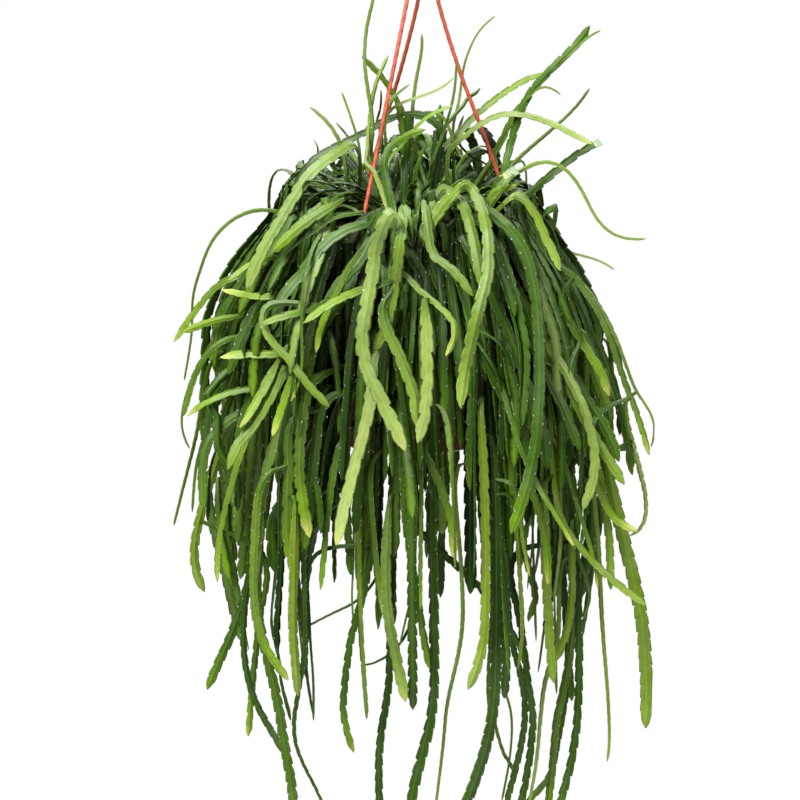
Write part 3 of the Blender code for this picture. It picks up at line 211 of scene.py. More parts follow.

# Stems given one by one, in millimetres: full width, depth at the first and at the last point, look
# (shade from dark to pale, partly the stem's own tone and partly painted light and shade, warmth
# from grey green to yellow green, how yellow the tip is, and how much of the end is the cut where a
# stem is cut off), then points as seen from the front, right of and above the rim's middle
placedStems = {
    "front": [
        (4.5, -34, -44, (0.62, 0.1, 0.1), [(-29, 54), (-28, 76), (-31, 101), (-34, 119), (-35, 136),
         (-33, 158), (-25, 190)]),
        (5.5, -22, -20, (0.5, 0.6, 0.1), [(-5, 64), (-7, 82), (-9, 97), (-11, 103)]),
        (5.0, -48, -36, (0.7, 0.5, 0.5), [(-31, 60), (-31, 84), (-29, 104), (-25, 118), (-17, 135)]),
        (3.8, -20, -17, (0.66, 0.05, 0.1), [(0, 66), (1, 90), (2, 104), (5, 123), (9, 142), (8, 151)]),
        (4.5, -24, -34, (0.75, 0.5, 0.4), [(-20, 82), (-12, 97), (7, 104), (22, 109), (34, 118)]),
        (4.0, -34, -37, (0.5, 0.2, 0.1), [(14, 48), (22, 70), (28, 88), (32, 103), (34, 117), (35, 130)]),
        (6.0, -38, -46, (0.5, 0.6, 0.7), [(-20, 50), (-9, 64), (3, 80), (15, 91), (31, 97)]),
        (6.5, -50, -54, (0.3, 0.4, 0.5), [(-21, 53), (-14, 67), (-5, 74), (11, 79)]),
        (7.0, -30, -34, (0.15, 0.5, 0.1), [(-5, 40), (-4, 58), (-1, 74), (-4, 92)]),
        (5.0, -46, -50, (0.3, 0.9, 0.3), [(2, 42), (6, 55), (10, 67)]),
        (8.0, -27, -22, (0.18, 0.2, 0.1), [(24, 76), (20, 85), (5, 91), (-8, 90)]),
        (10.5, -66, -155, (0.6, 0.5, 0.6), [(39, 37), (49, 29), (55, 14), (58, -8), (57, -33), (52, -50),
         (46, -76), (39, -110), (37, -130)]),
        (9.5, -58, -128, (0.55, 0.4, 0.2), [(22, 33), (32, 30), (41, 19), (46, 1), (50, -17), (53, -40)]),
        (9.5, -84, -128, (0.35, 0.35, 0.6), [(70, 8), (85, -11), (93, -42), (96, -80), (96, -120),
         (94, -154), (87, -188), (75, -224)]),
        (8.0, -118, -138, (0.55, 0.2, 0.3), [(16, -17), (26, -20), (36, -31), (47, -46)]),
        (6.0, -128, -150, (0.6, 0.75, 0.9), [(-4, -30), (8, -43), (22, -54), (32, -63), (34, -76),
         (26, -91)]),
        (11.0, -118, -162, (0.7, 0.4, 0.9), [(-26, -8), (-29, -32), (-35, -62), (-37, -84), (-32, -104),
         (-20, -128), (-4, -162)]),
        (11.5, -122, -142, (0.8, 0.6, 0.9), [(-28, -90), (-30, -124), (-37, -152), (-45, -182),
         (-51, -210), (-56, -233)]),
        (10.0, -140, -152, (0.6, 0.4, 0.7), [(-23, -58), (-12, -83), (-3, -104), (4, -125), (4, -143)]),
        (10.0, -142, -154, (0.75, 0.8, 0.7), [(10, -49), (12, -76), (12, -104), (11, -130), (5, -156)]),
        (9.0, -122, -138, (0.6, 0.4, 0.2), [(-8, -4), (-11, -28), (-15, -53), (-20, -72), (-28, -88)]),
        (8.0, -132, -146, (0.6, 0.6, 0.7), [(-35, -41), (-53, -47), (-68, -56), (-81, -66)]),
        (8.0, -122, -124, (0.6, 0.4, 0.3), [(-81, -57), (-98, -61), (-113, -67)]),
        (4.0, -62, -132, (0.4, 0.4, 0.8), [(-53, 24), (-65, 5), (-74, -10), (-80, -34), (-82, -68),
         (-82, -104), (-90, -125)]),
        (6.5, -112, -132, (0.55, 0.75, 0.3), [(-110, -52), (-108, -76), (-92, -92), (-80, -109),
         (-61, -129)]),
        (7.0, -122, -128, (0.5, 0.8, 0.8), [(-112, -184), (-117, -229), (-118, -272), (-112, -304),
         (-102, -320), (-92, -334)]),
        (5.0, -106, -104, (0.2, 0.4, 0.2), [(-78, -200), (-80, -270), (-80, -311), (-84, -341),
         (-88, -366), (-85, -388), (-69, -420), (-58, -446)]),
        (6.5, -102, -96, (0.25, 0.5, 0.7), [(-25, -150), (-27, -210), (-34, -262), (-44, -298),
         (-49, -330), (-51, -360), (-43, -388)]),
        (8.0, -92, -78, (0.15, 0.5, 0.2), [(-11, -150), (-12, -210), (-14, -270), (-15, -330),
         (-21, -376), (-21, -424), (-19, -452)]),
        (12.0, -102, -94, (0.18, 0.45, 0.2), [(14, -100), (16, -180), (16, -244), (18, -315), (15, -360),
         (7, -396), (-3, -438)]),
        (7.5, -122, -112, (0.45, 0.6, 1), [(-31, -170), (-28, -229), (-25, -258), (-20, -287)]),
        (8.5, -112, -112, (0.6, 0.2, 0.8), [(-16, -200), (-19, -250), (-17, -286), (-10, -322),
         (-4, -350)]),
        (8.0, -110, -104, (0.4, 0.5, 0.3), [(-8, -160), (-4, -212), (2, -255), (7, -287), (14, -325)]),
        (2.8, -98, -90, (0.3, 0.95, 0.2), [(-14, -160), (-18, -236), (-36, -271), (-60, -284),
         (-84, -297)]),
        (8.0, -112, -110, (0.65, 0.9, 0.5), [(52, -130), (55, -190), (56, -260), (54, -308), (43, -341)]),
        (9.0, -104, -98, (0.18, 0.4, 0.2), [(62, -160), (64, -230), (64, -300), (62, -352), (54, -392),
         (36, -440)]),
        (3.5, -96, -88, (0.65, 0.15, 0.2), [(33, -180), (37, -240), (39, -285), (36, -312), (27, -352),
         (24, -384), (17, -436)]),
        (9.5, -114, -112, (0.45, 0.5, 0.7), [(-90, -139), (-92, -184), (-93, -222), (-88, -250),
         (-84, -258)]),
        (9.0, -122, -122, (0.45, 0.5, 1), [(-76, -112), (-82, -146), (-84, -172), (-81, -202),
         (-76, -227)]),
        (9.0, -112, -108, (0.3, 0.4, 0.3), [(-65, -124), (-71, -158), (-76, -196), (-80, -236)]),
        (8.5, -108, -106, (0.4, 0.5, 0.7), [(-55, -160), (-61, -199), (-65, -232), (-68, -266)]),
        (9.5, -116, -114, (0.65, 0.9, 0.6), [(-87, -200), (-88, -252), (-88, -304), (-85, -346)]),
        (4.5, -102, -98, (0.2, 0.8, 0.2), [(-74, -240), (-76, -290), (-73, -334), (-73, -364)]),
        (6.5, -102, -98, (0.18, 0.4, 0.2), [(-46, -110), (-48, -154), (-49, -190), (-45, -255)]),
        (7.0, -120, -116, (0.45, 0.55, 1), [(10, -161), (22, -188), (31, -218), (32, -242)]),
        (6.5, -102, -98, (0.55, 0.7, 0.3), [(76, -200), (82, -262), (84, -296), (80, -326)]),
        (7.0, -110, -124, (0.45, 0.5, 0.9), [(67, -110), (82, -158), (95, -188), (109, -211),
         (123, -233)]),
        (5.0, -112, -106, (0.45, 0.5, 0.9), [(78, -190), (84, -228), (89, -256)]),
    ],
    "right": [
        (8.0, 1, 28, (0.55, 0.75, 0.5), [(17, 57), (29, 70), (41, 85), (58, 99), (72, 109), (88, 118),
         (101, 122)]),
        (6.5, -14, -6, (0.35, 0.65, 0.2), [(69, 45), (73, 64), (79, 83), (86, 102), (97, 116),
         (112, 131), (129, 148), (134, 157)]),
        (2.4, -8, -8, (0.6, 0.3, 0.2), [(112, 128), (127, 143), (134, 150), (142, 153)]),
        (2.4, -12, -12, (0.6, 0.4, 0.2), [(86, 100), (97, 113), (106, 111), (112, 105)]),
        (7.0, 4, -22, (0.7, 0.5, 0.8), [(26, 59), (37, 70), (52, 83), (69, 91), (88, 90), (106, 84),
         (121, 76), (136, 68)]),
        (3.6, 14, 22, (0.6, 0.15, 0.1), [(68, 42), (80, 57), (95, 70), (110, 83), (124, 96), (134, 110)]),
        (4.4, 0, 8, (0.45, 0.15, 0.1), [(16, 62), (29, 85), (41, 99), (52, 110)]),
        (3.2, 4, 12, (0.62, 0.1, 0.1), [(31, 77), (34, 92), (37, 104), (38, 119), (41, 132), (46, 144),
         (52, 155), (63, 164)]),
        (8.5, -20, -4, (0.2, 0.6, 0, 5), [(72, 18), (88, 31), (110, 49), (127, 62), (142, 70)]),
        (12.0, -34, -36, (0.3, 0.4, 0, 9), [(57, 28), (63, 35), (70, 42), (79, 48)]),
        (4.2, -28, -46, (0.65, 0.4, 0.3), [(72, 40), (85, 50), (99, 56), (112, 53), (122, 43), (130, 30),
         (137, 15), (147, 3), (160, -3), (176, -3)]),
        (7.0, -32, -38, (0.55, 0.75, 0.4), [(55, 28), (67, 33), (79, 36)]),
        (7.5, -36, -62, (0.6, 0.85, 0.6), [(77, 29), (86, 25), (94, 14), (101, -2), (107, -14),
         (112, -27)]),
        (3.6, -4, 8, (0.7, 0.1, 0.3), [(100, -4), (112, -12), (123, -14), (134, -17), (146, -21),
         (152, -26)]),
        (5.0, -30, -30, (0.6, 0.4, 0.4), [(112, -20), (130, -38), (144, -58), (155, -80), (163, -102),
         (169, -118), (180, -133), (183, -147), (180, -159)]),
        (7.0, -52, -50, (0.45, 0.5, 0.9), [(114, -24), (130, -42), (142, -60), (152, -84), (160, -110),
         (170, -136), (179, -165)]),
        (7.0, -72, -82, (0.6, 0.75, 0.5), [(104, -120), (106, -170), (112, -212), (127, -234),
         (149, -257), (176, -278)]),
        (7.0, -62, -72, (0.18, 0.4, 0.2), [(76, -240), (82, -290), (88, -338), (92, -362), (87, -404),
         (77, -448)]),
        (4.5, -42, -40, (0.7, 0.4, 0.4), [(112, -250), (110, -305), (101, -332), (97, -362), (94, -396),
         (88, -430)]),
        (7.0, -32, -28, (0.45, 0.6, 0.8), [(122, -230), (122, -290), (116, -334), (109, -364),
         (106, -402), (101, -442)]),
        (7.5, -58, -54, (0.22, 0.4, 0.3), [(120, -170), (124, -244), (126, -310), (125, -362),
         (118, -404), (107, -440)]),
        (4.6, -46, -44, (0.6, 0.7, 0.4), [(138, -170), (141, -240), (144, -300), (148, -350),
         (149, -383), (147, -395)]),
        (10.5, -62, -60, (0.55, 0.85, 0.4), [(148, -170), (158, -222), (167, -258), (174, -295),
         (177, -345), (176, -370)]),
        (8.0, -84, -82, (0.55, 0.75, 0.5), [(100, -190), (101, -244), (104, -300), (107, -336)]),
        (7.0, -66, -62, (0.55, 0.75, 0.5), [(120, -220), (121, -270), (116, -300), (108, -320)]),
        (8.0, -72, -70, (0.55, 0.7, 0.5), [(134, -140), (142, -184), (149, -230), (150, -266)]),
        (5.0, -34, -30, (0.75, 0.5, 0.5), [(160, -130), (170, -170), (176, -195), (176, -213),
         (171, -224), (163, -226)]),
        (7.0, -78, -80, (0.5, 0.7, 1), [(138, -182), (149, -209), (160, -219), (170, -222)]),
        (8.0, -86, -88, (0.55, 0.7, 0.4), [(118, -110), (134, -145), (146, -165), (160, -187)]),
        (8.0, -84, -92, (0.7, 0.45, 0.5), [(97, -71), (113, -98), (127, -124), (136, -152), (138, -178),
         (129, -206)]),
        (8.0, -72, -76, (0.45, 0.55, 0.9), [(112, -49), (130, -83), (142, -101), (149, -121)]),
        (8.0, -64, -96, (0.18, 0.4, 0.2), [(67, -30), (86, -68), (100, -101), (115, -131), (127, -162)]),
    ],
    "left": [
        (10.5, -24, -72, (0.7, 0.35, 0.3), [(-40, 68), (-53, 62), (-67, 54), (-80, 41), (-92, 22),
         (-103, 3), (-113, -14), (-123, -41)]),
        (9.0, -42, -80, (0.5, 0.5, 0.9), [(-58, 26), (-74, 15), (-89, 2), (-101, -13)]),
        (5.0, -10, -14, (0.7, 0.4, 0.4), [(-50, 60), (-57, 77), (-66, 89), (-76, 96)]),
        (4.0, -14, -16, (0.55, 0.4, 0.6), [(-38, 60), (-42, 78), (-47, 93), (-52, 107)]),
        (3.6, -14, -10, (0.45, 0.75, 0.2), [(-83, 15), (-100, 18), (-115, 19), (-130, 14), (-143, 4),
         (-152, -9), (-158, -26), (-164, -46), (-164, -71), (-167, -92), (-170, -109)]),
        (7.0, -34, -32, (0.5, 0.6, 0.8), [(-125, -30), (-140, -34), (-154, -47), (-166, -62),
         (-178, -80)]),
        (7.0, -74, -72, (0.5, 0.6, 1), [(-90, -44), (-112, -47), (-128, -44), (-142, -41)]),
        (9.5, -84, -84, (0.6, 0.6, 0.8), [(-92, -88), (-112, -89), (-128, -89), (-143, -92)]),
        (6.0, -50, -46, (0.5, 0.5, 0.7), [(-120, -58), (-140, -62), (-157, -67), (-171, -73)]),
        (6.5, -60, -58, (0.65, 0.85, 0.7), [(-96, -17), (-112, -17), (-125, -24), (-137, -34)]),
        (7.5, -82, -88, (0.55, 0.75, 0.8), [(-94, -104), (-108, -128), (-124, -154), (-134, -184),
         (-141, -210), (-145, -236), (-145, -260)]),
        (7.5, -50, -58, (0.22, 0.6, 0.5), [(-104, -160), (-112, -220), (-122, -262), (-134, -298),
         (-145, -322), (-153, -341)]),
        (5.5, -62, -70, (0.2, 0.4, 0.2), [(-112, -180), (-120, -240), (-126, -300), (-120, -342),
         (-107, -368), (-94, -390)]),
        (8.0, -78, -84, (0.4, 0.5, 0.3), [(-112, -230), (-116, -276), (-108, -316), (-100, -350),
         (-95, -382), (-90, -408), (-82, -446)]),
        (6.0, -58, -60, (0.4, 0.5, 0.3), [(-111, -75), (-130, -75), (-146, -82), (-158, -96),
         (-165, -114), (-171, -136)]),
        (9.0, -74, -76, (0.45, 0.6, 0.8), [(-104, -113), (-124, -115), (-143, -120), (-158, -127),
         (-168, -136)]),
        (8.0, -68, -72, (0.4, 0.5, 0.3), [(-98, -120), (-117, -128), (-134, -137), (-148, -149),
         (-156, -166), (-156, -206)]),
        (4.0, -28, -30, (0.4, 0.4, 0.2), [(-140, -70), (-155, -90), (-166, -112), (-172, -134),
         (-171, -150), (-166, -160)]),
        (3.6, -18, -20, (0.4, 0.8, 0.3), [(-146, -90), (-156, -122), (-161, -150), (-169, -182),
         (-178, -218)]),
        (4.6, -4, 0, (0.4, 0.5, 0.3), [(-140, -110), (-153, -146), (-161, -172), (-164, -208)]),
        (7.5, -12, -10, (0.6, 0.7, 0.5), [(-140, -150), (-154, -196), (-162, -228), (-162, -250),
         (-155, -268)]),
        (5.5, -50, -52, (0.4, 0.7, 0.8), [(-110, -240), (-114, -290), (-119, -338), (-122, -376)]),
    ],
}

# How the other stems grow, in millimetres and degrees: straight foot, pitch at the foot, length of
# the bend, pitch at its end, whole length, full width, how far it may turn aside in radians
habits = {
    "lining": {"foot": (18, 26), "rise": (70, 84), "bend": (55, 80), "hang": (-90, -85),
               "length": (210, 380), "width": (9, 12), "drift": 0.12},
    "curtain": {"foot": (16, 30), "rise": (62, 82), "bend": (70, 150), "hang": (-88, -78),
                "length": (300, 470), "width": (7, 11), "drift": 0.35},
    "skirt": {"foot": (14, 30), "rise": (45, 75), "bend": (150, 260), "hang": (-84, -60),
              "length": (200, 340), "width": (6, 10.5), "drift": 0.5},
    "tuft": {"foot": (16, 40), "rise": (74, 90), "bend": (70, 160), "hang": (10, 60),
             "length": (80, 140), "width": (3.6, 7), "drift": 0.5},
    "branch": {"foot": (4, 10), "rise": (-50, 20), "bend": (40, 110), "hang": (-88, -66),
               "length": (80, 190), "width": (6, 10), "drift": 0.5},
}
grown = {
    "front": [("lining", 11), ("tuft", 1), ("branch", 3)],
    "right": [("lining", 4), ("branch", 5)],
    "back_right": [("lining", 3), ("curtain", 5), ("skirt", 6), ("tuft", 2), ("branch", 8)],
    "back_left": [("lining", 3), ("curtain", 5), ("skirt", 5), ("tuft", 2), ("branch", 8)],
    "left": [("lining", 4), ("tuft", 1), ("branch", 6)],
}


def smoothLine(points, steps):
    # A Catmull-Rom curve through the points
    padded = [points[0] * 2 - points[1], *points, points[-1] * 2 - points[-2]]
    line = []
    for before, start, end, after in zip(padded, padded[1:], padded[2:], padded[3:]):
        for step in range(steps):
            t = step / steps
            line.append(0.5 * (2 * start + (end - before) * t
                               + (2 * before - 5 * start + 4 * end - after) * t ** 2
                               + (3 * start - before - 3 * end + after) * t ** 3))
    line.append(points[-1].copy())
    return line


def strandRoute(name):
    # From the button under the rim up into the yoke, bowed inwards by the strand's own amount
    below, above = hanger["stub"]
    angle = math.radians(hanger["strandAngles"][name])
    foot = Vector((math.cos(angle), math.sin(angle), 0)) * hanger["strandRing"]
    top = Vector((hanger["sockets"][name] - pot["axisX"], 0,
                  hanger["yokeTop"] - hanger["yokeHeight"] - pot["rimTop"]))
    inward = -foot.normalized() * hanger["bows"][name]
    points = [foot + Vector((0, 0, -pot["rimThickness"] - below)), foot + Vector((0, 0, above))]
    for share in hanger["bowAt"]:
        points.append(foot.lerp(top, share) + inward * math.sin(math.pi * share ** hanger["bowHigh"]))
    points.append(top)
    points.append(top + Vector((0, 0, hanger["yokeSocket"] - hanger["socketGap"])))
    return points


strandLines = {name: strandRoute(name)[1:] for name in hanger["strandAngles"]}


def realPlace(across, up, depth):
    # Where a point seen from the front, across and up from the rim's middle, lies at a given depth
    sine = math.sin(view["pitch"])
    cosine = math.cos(view["pitch"])
    far = view["distance"]
    height = up + view["rimAbove"]
    z = height * (depth * cosine + far) - (depth * sine + view["rimAbove"]) * far
    z /= cosine * far + height * sine
    share = (depth * cosine - z * sine + far) / far
    x = (across + view["rimRight"]) * share - view["rimRight"]
    return Vector((x, depth, z))


def sectorPlanes(clump):
    # Unit vectors that point into the clump's sector from its two bounding planes
    low, high = (math.radians(angle) for angle in clump["sector"])
    return Vector((-math.sin(low), math.cos(low), 0)), Vector((math.sin(high), -math.cos(high), 0))


def nearestOnLine(point, line):
    best = None
    for start, end in zip(line, line[1:]):
        along = end - start
        share = max(0, min(1, (point - start).dot(along) / along.length_squared))
        spot = start + along * share
        if best is None or (point - spot).length < (point - best).length:
            best = spot
    return best


def rimCrossing(line):
    # How many points of a line come before it first passes beyond the rim
    for index, point in enumerate(line):
        if math.hypot(point.x, point.y) >= pot["rimRadius"] + growth["potClearance"]:
            return index
    return len(line)


def overPot(point, clump, inside, ease=0):
    # Moves a point out of the soil and the pot: up while the stem is still inside the rim, and
    # outwards after that
    point = point.copy()
    span = math.hypot(point.x, point.y)
    rim = pot["rimRadius"] + growth["potClearance"] - ease
    fromCrown = math.hypot(point.x - clump["crown"][0], point.y - clump["crown"][1])
    if span >= rim or fromCrown < clump["radius"] - growth["crownMargin"]:
        return point
    near, far = growth["soilReach"]
    climb = min(1, max(0, (span - near) / (far - near)))
    height = growth["soilClear"] + (growth["rimClear"] - growth["soilClear"]) * climb - ease
    if inside or height - growth["overAgain"] < point.z < height:
        point.z = max(point.z, height)
    elif point.z < height:
        point.x *= rim / span
        point.y *= rim / span
    return point


def bendClear(point, halfWidth, clump, inside, ease=0):
    # Moves a point of a stem clear of the clump's neighbours, the strands and the pot
    point = point.copy()
    room = halfWidth + growth["stemClearance"]
    if point.z > growth["strandsAbove"]:
        for line in strandLines.values():
            away = point - nearestOnLine(point, line)
            reach = halfWidth + growth["strandClearance"] - ease / 3
            if away.length < reach:
                away.z = 0
                push = Vector((0, 1 if away.y >= 0 else -1, 0)) if away.length < 0.1 else away.normalized()
                point += push * (reach - away.length)
    point = overPot(point, clump, inside, ease)
    for inward in sectorPlanes(clump):
        short = room - point.dot(inward)
        if short > 0:
            point += inward * short
    return point


# How a listed stem gets from its foot to the first point that the photo shows
rooting = {
    "crownRing": (0.15, 0.6),       # how far out in its crown the foot stands
    "buried": 3,
    "sprout": (3, 16),              # how far out and up it first goes
    "crownCost": 40,                # what it adds that a stem rises from its crown, not from another
    "parentCost": 6,
    "parentWidth": 4.5,
    "parentPart": slice(6, -8),     # no stem branches near the foot or the tip of another
    "lower": (4, 2),                # branching from below the point costs more
    "shoulderBelow": 26,            # a stem seen lower than this has a shoulder first
    "shoulder": (24, 4, 20),
    "overBelow": -30,               # and one lower than this goes over the rim first
    "overReach": 104,
    "overHeight": (2, 10),
    "depthEase": 1.6,               # over 1 the depth changes early along the stem
    "curveSteps": 6,
}


def crownFoot(first, clump, rng):
    # A stem's foot inside its crown, on the side it leaves for
    crown = Vector((*clump["crown"], 0))
    away = Vector((first.x - crown.x, first.y - crown.y, 0))
    away = away.normalized() if away.length > 1 else Vector((0, -1, 0))
    foot = crown + away * clump["radius"] * rng.uniform(*rooting["crownRing"])
    foot.z = pot["soilTop"] - rooting["buried"]
    return foot, away


def leadIn(first, width, clump, stems, rng):
    # From the crown, or from an older stem that passes nearer, to the first point seen
    foot, away = crownFoot(first, clump, rng)
    best = (foot - first).length + rooting["crownCost"]
    parent = None
    below, weight = rooting["lower"]
    if first.z < growth["branchedBelow"] or width < growth["twigWidth"]:
        for stem in stems:
            if stem["width"] < rooting["parentWidth"]:
                continue
            for point in stem["line"][rooting["parentPart"]]:
                lower = max(0, first.z - point.z + below)
                cost = (point - first).length + weight * lower + rooting["parentCost"]
                if cost < best:
                    best = cost
                    parent = point
    if parent is not None:
        return [parent.copy()]
    outwards, upwards = rooting["sprout"]
    lift = foot + away * outwards
    lift.z = pot["soilTop"] + upwards
    points = [foot, lift]
    if first.z < rooting["shoulderBelow"]:
        lowest, *rise = rooting["shoulder"]
        shoulder = lift.lerp(first, 0.5)
        shoulder.z = max(lowest, first.z) + rng.uniform(*rise)
        points.append(shoulder)
        reach = math.hypot(first.x, first.y)
        if first.z < rooting["overBelow"]:
            over = first * (max(reach, rooting["overReach"]) / reach)
            over.z = rng.uniform(*rooting["overHeight"])
            points.append(over)
    return points


def placedRoute(spec, clump, stems, rng):
    # The whole line of a listed stem, and how far along it the photo first shows it
    width, near, far, _, seen = spec
    steps = rooting["curveSteps"]
    points = []
    for index, (across, up) in enumerate(seen):
        share = index / (len(seen) - 1)
        eased = 1 - (1 - share) ** rooting["depthEase"]
        points.append(realPlace(across, up, near + (far - near) * eased))
    hidden = leadIn(points[0], width, clump, stems, rng)
    line = smoothLine(hidden + points, steps)
    return line, distancesAlong(line)[len(hidden) * steps]


def grownRoute(habit, azimuth, clump, stems, rng):
    # A stem that rises from its crown, or leaves an older stem, and bends over under its own weight
    footLength = rng.uniform(*habit["foot"])
    rise = rng.uniform(*habit["rise"])
    bend = rng.uniform(*habit["bend"])
    hang = rng.uniform(*habit["hang"])
    length = rng.uniform(*habit["length"])
    drift = rng.uniform(-habit["drift"], habit["drift"])
    sway = math.radians(rng.uniform(-growth["sway"], growth["sway"]))
    phase = rng.uniform(0, math.tau)
    if habit["rise"][0] < 0:
        rootShare = rng.random()
        low, high = growth["branchHeights"]
        forks = [point for stem in stems if stem["width"] > growth["forkWidth"]
                 for point in stem["line"][growth["forkPart"]] if low < point.z < high]
        point = forks[int(rootShare * len(forks))].copy()
        azimuth = math.atan2(point.y, point.x) + drift * growth["branchDrift"]
    else:
        crown = Vector((*clump["crown"], 0))
        outward = Vector((math.cos(azimuth), math.sin(azimuth), 0)) * pot["rimRadius"] - crown
        outward.normalize()
        azimuth = math.atan2(outward.y, outward.x)
        rootShare = len(stems) * growth["golden"] % 1
        nearest, span = growth["crownRing"]
        point = crown + outward * clump["radius"] * (nearest + span * rootShare)
        point.z = pot["soilTop"] - rooting["buried"]
    even, smooth = growth["bendShape"]
    line = [point.copy()]
    travelled = 0
    while travelled < length:
        share = max(0, min(1, (travelled - footLength) / bend))
        eased = share * share * (3 - 2 * share)
        pitch = math.radians(rise + (hang - rise) * (even * share + smooth * eased))
        turn = azimuth + drift * share + sway * math.sin(travelled / growth["swayLength"] + phase)
        level = math.cos(pitch)
        ahead = Vector((level * math.cos(turn), level * math.sin(turn), math.sin(pitch)))
        point += growth["step"] * ahead
        line.append(point.copy())
        travelled += growth["step"]
    return line, rng.uniform(*habit["width"])


def distancesAlong(line):
    # How far each point of a line is from its start, along it
    distances = [0.0]
    for start, end in zip(line, line[1:]):
        distances.append(distances[-1] + (end - start).length)
    return distances


def pointsAt(line, targets):
    # The line's points at the given distances along it, which rise
    distances = distancesAlong(line)
    points = []
    segment = 0
    for target in targets:
        while segment < len(line) - 2 and distances[segment + 1] < target:
            segment += 1
        span = distances[segment + 1] - distances[segment]
        share = (target - distances[segment]) / span if span else 0
        points.append(line[segment].lerp(line[segment + 1], share))
    return points


def evenTargets(line, spacing):
    length = distancesAlong(line)[-1]
    count = max(3, round(length / spacing))
    return [length * index / count for index in range(count + 1)]


def ringTargets(stem, spacing):
    # Even distances, with more of them where a straight piece would cut through the soil, the rim
    # or a strand
    line = stem["line"]
    half = max(stem["width"], growth["baseWidth"]) / 2
    crossed = (distancesAlong(line) + [math.inf])[rimCrossing(line)]
    targets = evenTargets(line, spacing)
    for _ in range(4):
        points = pointsAt(line, targets)
        finer = [targets[0]]
        for start, end, low, high in zip(points, points[1:], targets, targets[1:]):
            worst = 0
            for share in (0.2, 0.4, 0.6, 0.8):
                point = start.lerp(end, share)
                clear = bendClear(point, half, stem["clump"], low < crossed, growth["chordEase"])
                worst = max(worst, (clear - point).length)
            if worst > growth["chordSlack"]:
                finer.append((low + high) / 2)
            finer.append(high)
        targets = finer
    return targets


def keptClear(line, width, clump):
    # A line with every point but the rooted ones moved clear
    over = rimCrossing(line)
    half = max(width, growth["baseWidth"]) / 2
    rooted = growth["rooted"]
    moved = [bendClear(point, half, clump, index < over) for index, point in enumerate(line)]
    return line[:rooted] + moved[rooted:]


def easedLine(line):
    # A line with each point drawn towards the middle of its neighbours
    rooted = growth["rooted"]
    middle = [(before + 2 * point + after) / 4
              for before, point, after in zip(line[rooted - 1:], line[rooted:], line[rooted + 1:])]
    return line[:rooted] + middle + line[-1:]


def cleared(line, width, clump):
    # The whole line bent clear, then eased so that no kink is left
    line = keptClear(pointsAt(line, evenTargets(line, growth["step"])), width, clump)
    for _ in range(3):
        line = easedLine(line)
    return keptClear(line, width, clump)


def reachAt(height):
    # The plant's outline as turned about the pot's axis
    outline = growth["envelope"]
    if height >= outline[0][0]:
        return outline[0][1]
    for (high, outer), (low, inner) in zip(outline, outline[1:]):
        if height >= low:
            return inner + (outer - inner) * (height - low) / (high - low)
    return outline[-1][1]


def seenOutside(point):
    # How far a point lies outside the plant's outline as seen from the front
    up = point.z * math.cos(view["pitch"]) + point.y * math.sin(view["pitch"])
    outline = growth["seenOutline"]
    left, right = outline[-1][1:]
    if up >= outline[0][0]:
        left, right = outline[0][1:]
    for high, low in zip(outline, outline[1:]):
        if low[0] <= up < high[0]:
            share = (up - low[0]) / (high[0] - low[0])
            left = low[1] + (high[1] - low[1]) * share
            right = low[2] + (high[2] - low[2]) * share
    return max(0, point.x - right, -left - point.x)


def trespass(line, width, clump):
    # How far a line is from lying clear of its neighbours and inside the plant's outline
    rooted = growth["rooted"]
    berth = width / 2 + growth["strandWideBerth"]
    kept = keptClear(line, width, clump)
    moved = [(clear - point).length for clear, point in zip(kept[rooted:], line[rooted:])]
    outside = [max(0, math.hypot(point.x, point.y) - reachAt(point.z), seenOutside(point))
               for point in line]
    strandRoom = berth
    for point in line:
        if point.z > growth["wideStrandsAbove"]:
            for strand in strandLines.values():
                strandRoom = min(strandRoom, (point - nearestOnLine(point, strand)).length)
    tight = berth - strandRoom
    return (sum(moved) / len(moved) + growth["farthest"] * max(outside)
            + sum(outside) / len(outside) + growth["tight"] * tight)


def treeOf(stems):
    # A search tree of the stems' points, and the half width at each
    points = [(point, stem["width"] / 2) for stem in stems for point in stem["line"]]
    tree = KDTree(max(1, len(points)))
    for number, (point, _) in enumerate(points):
        tree.insert(point, number)
    if not points:
        tree.insert(Vector((0, 0, 9999)), 0)
        points.append((Vector((0, 0, 9999)), 0))
    tree.balance()
    return tree, [half for _, half in points]


def passedOver(line, width, stems, toViewer):
    # Lifts a stem outwards over those already placed, so that it lies on them and doesn't cross them
    tree, halves = treeOf(stems)
    rooted, layer = growth["rooted"], growth["layer"]
    lifts = [0.0] * len(line)
    ways = []
    for point in line:
        flat = Vector((point.x, point.y, 0))
        radial = flat.normalized() if flat.length > 12 else Vector((0, -1, 0))
        ways.append(Vector(growth["viewerWay"]) if toViewer else radial)
    for _ in range(5):
        for index in range(rooted, len(line)):
            spot = line[index] + ways[index] * lifts[index]
            for near, number, _ in tree.find_range(spot, growth["overReach"]):
                away = line[index] + ways[index] * lifts[index] - near
                height = away.dot(ways[index])
                beside = (away - ways[index] * height).length
                if beside < (width / 2 + halves[number]) * growth["beside"] and abs(height) < layer:
                    lifts[index] += layer - height
        wide = [max(lifts[max(0, index - 1):index + 2]) for index in range(len(lifts))]
        lifts = [sum(wide[max(0, index - 1):index + 2]) / len(wide[max(0, index - 1):index + 2])
                 for index in range(len(wide))]
        for index in range(rooted):
            lifts[index] = 0.0
    return [point + way * lift for point, way, lift in zip(line, ways, lifts)]


def newStem(line, width, kind, clump, rng, turned, look=None, shown=0):
    # shown is how far along the photo first shows the stem
    return {"line": line, "width": width, "kind": kind, "clump": clump,
            "turn": rng.uniform(-turned, turned), "look": look, "shown": shown}


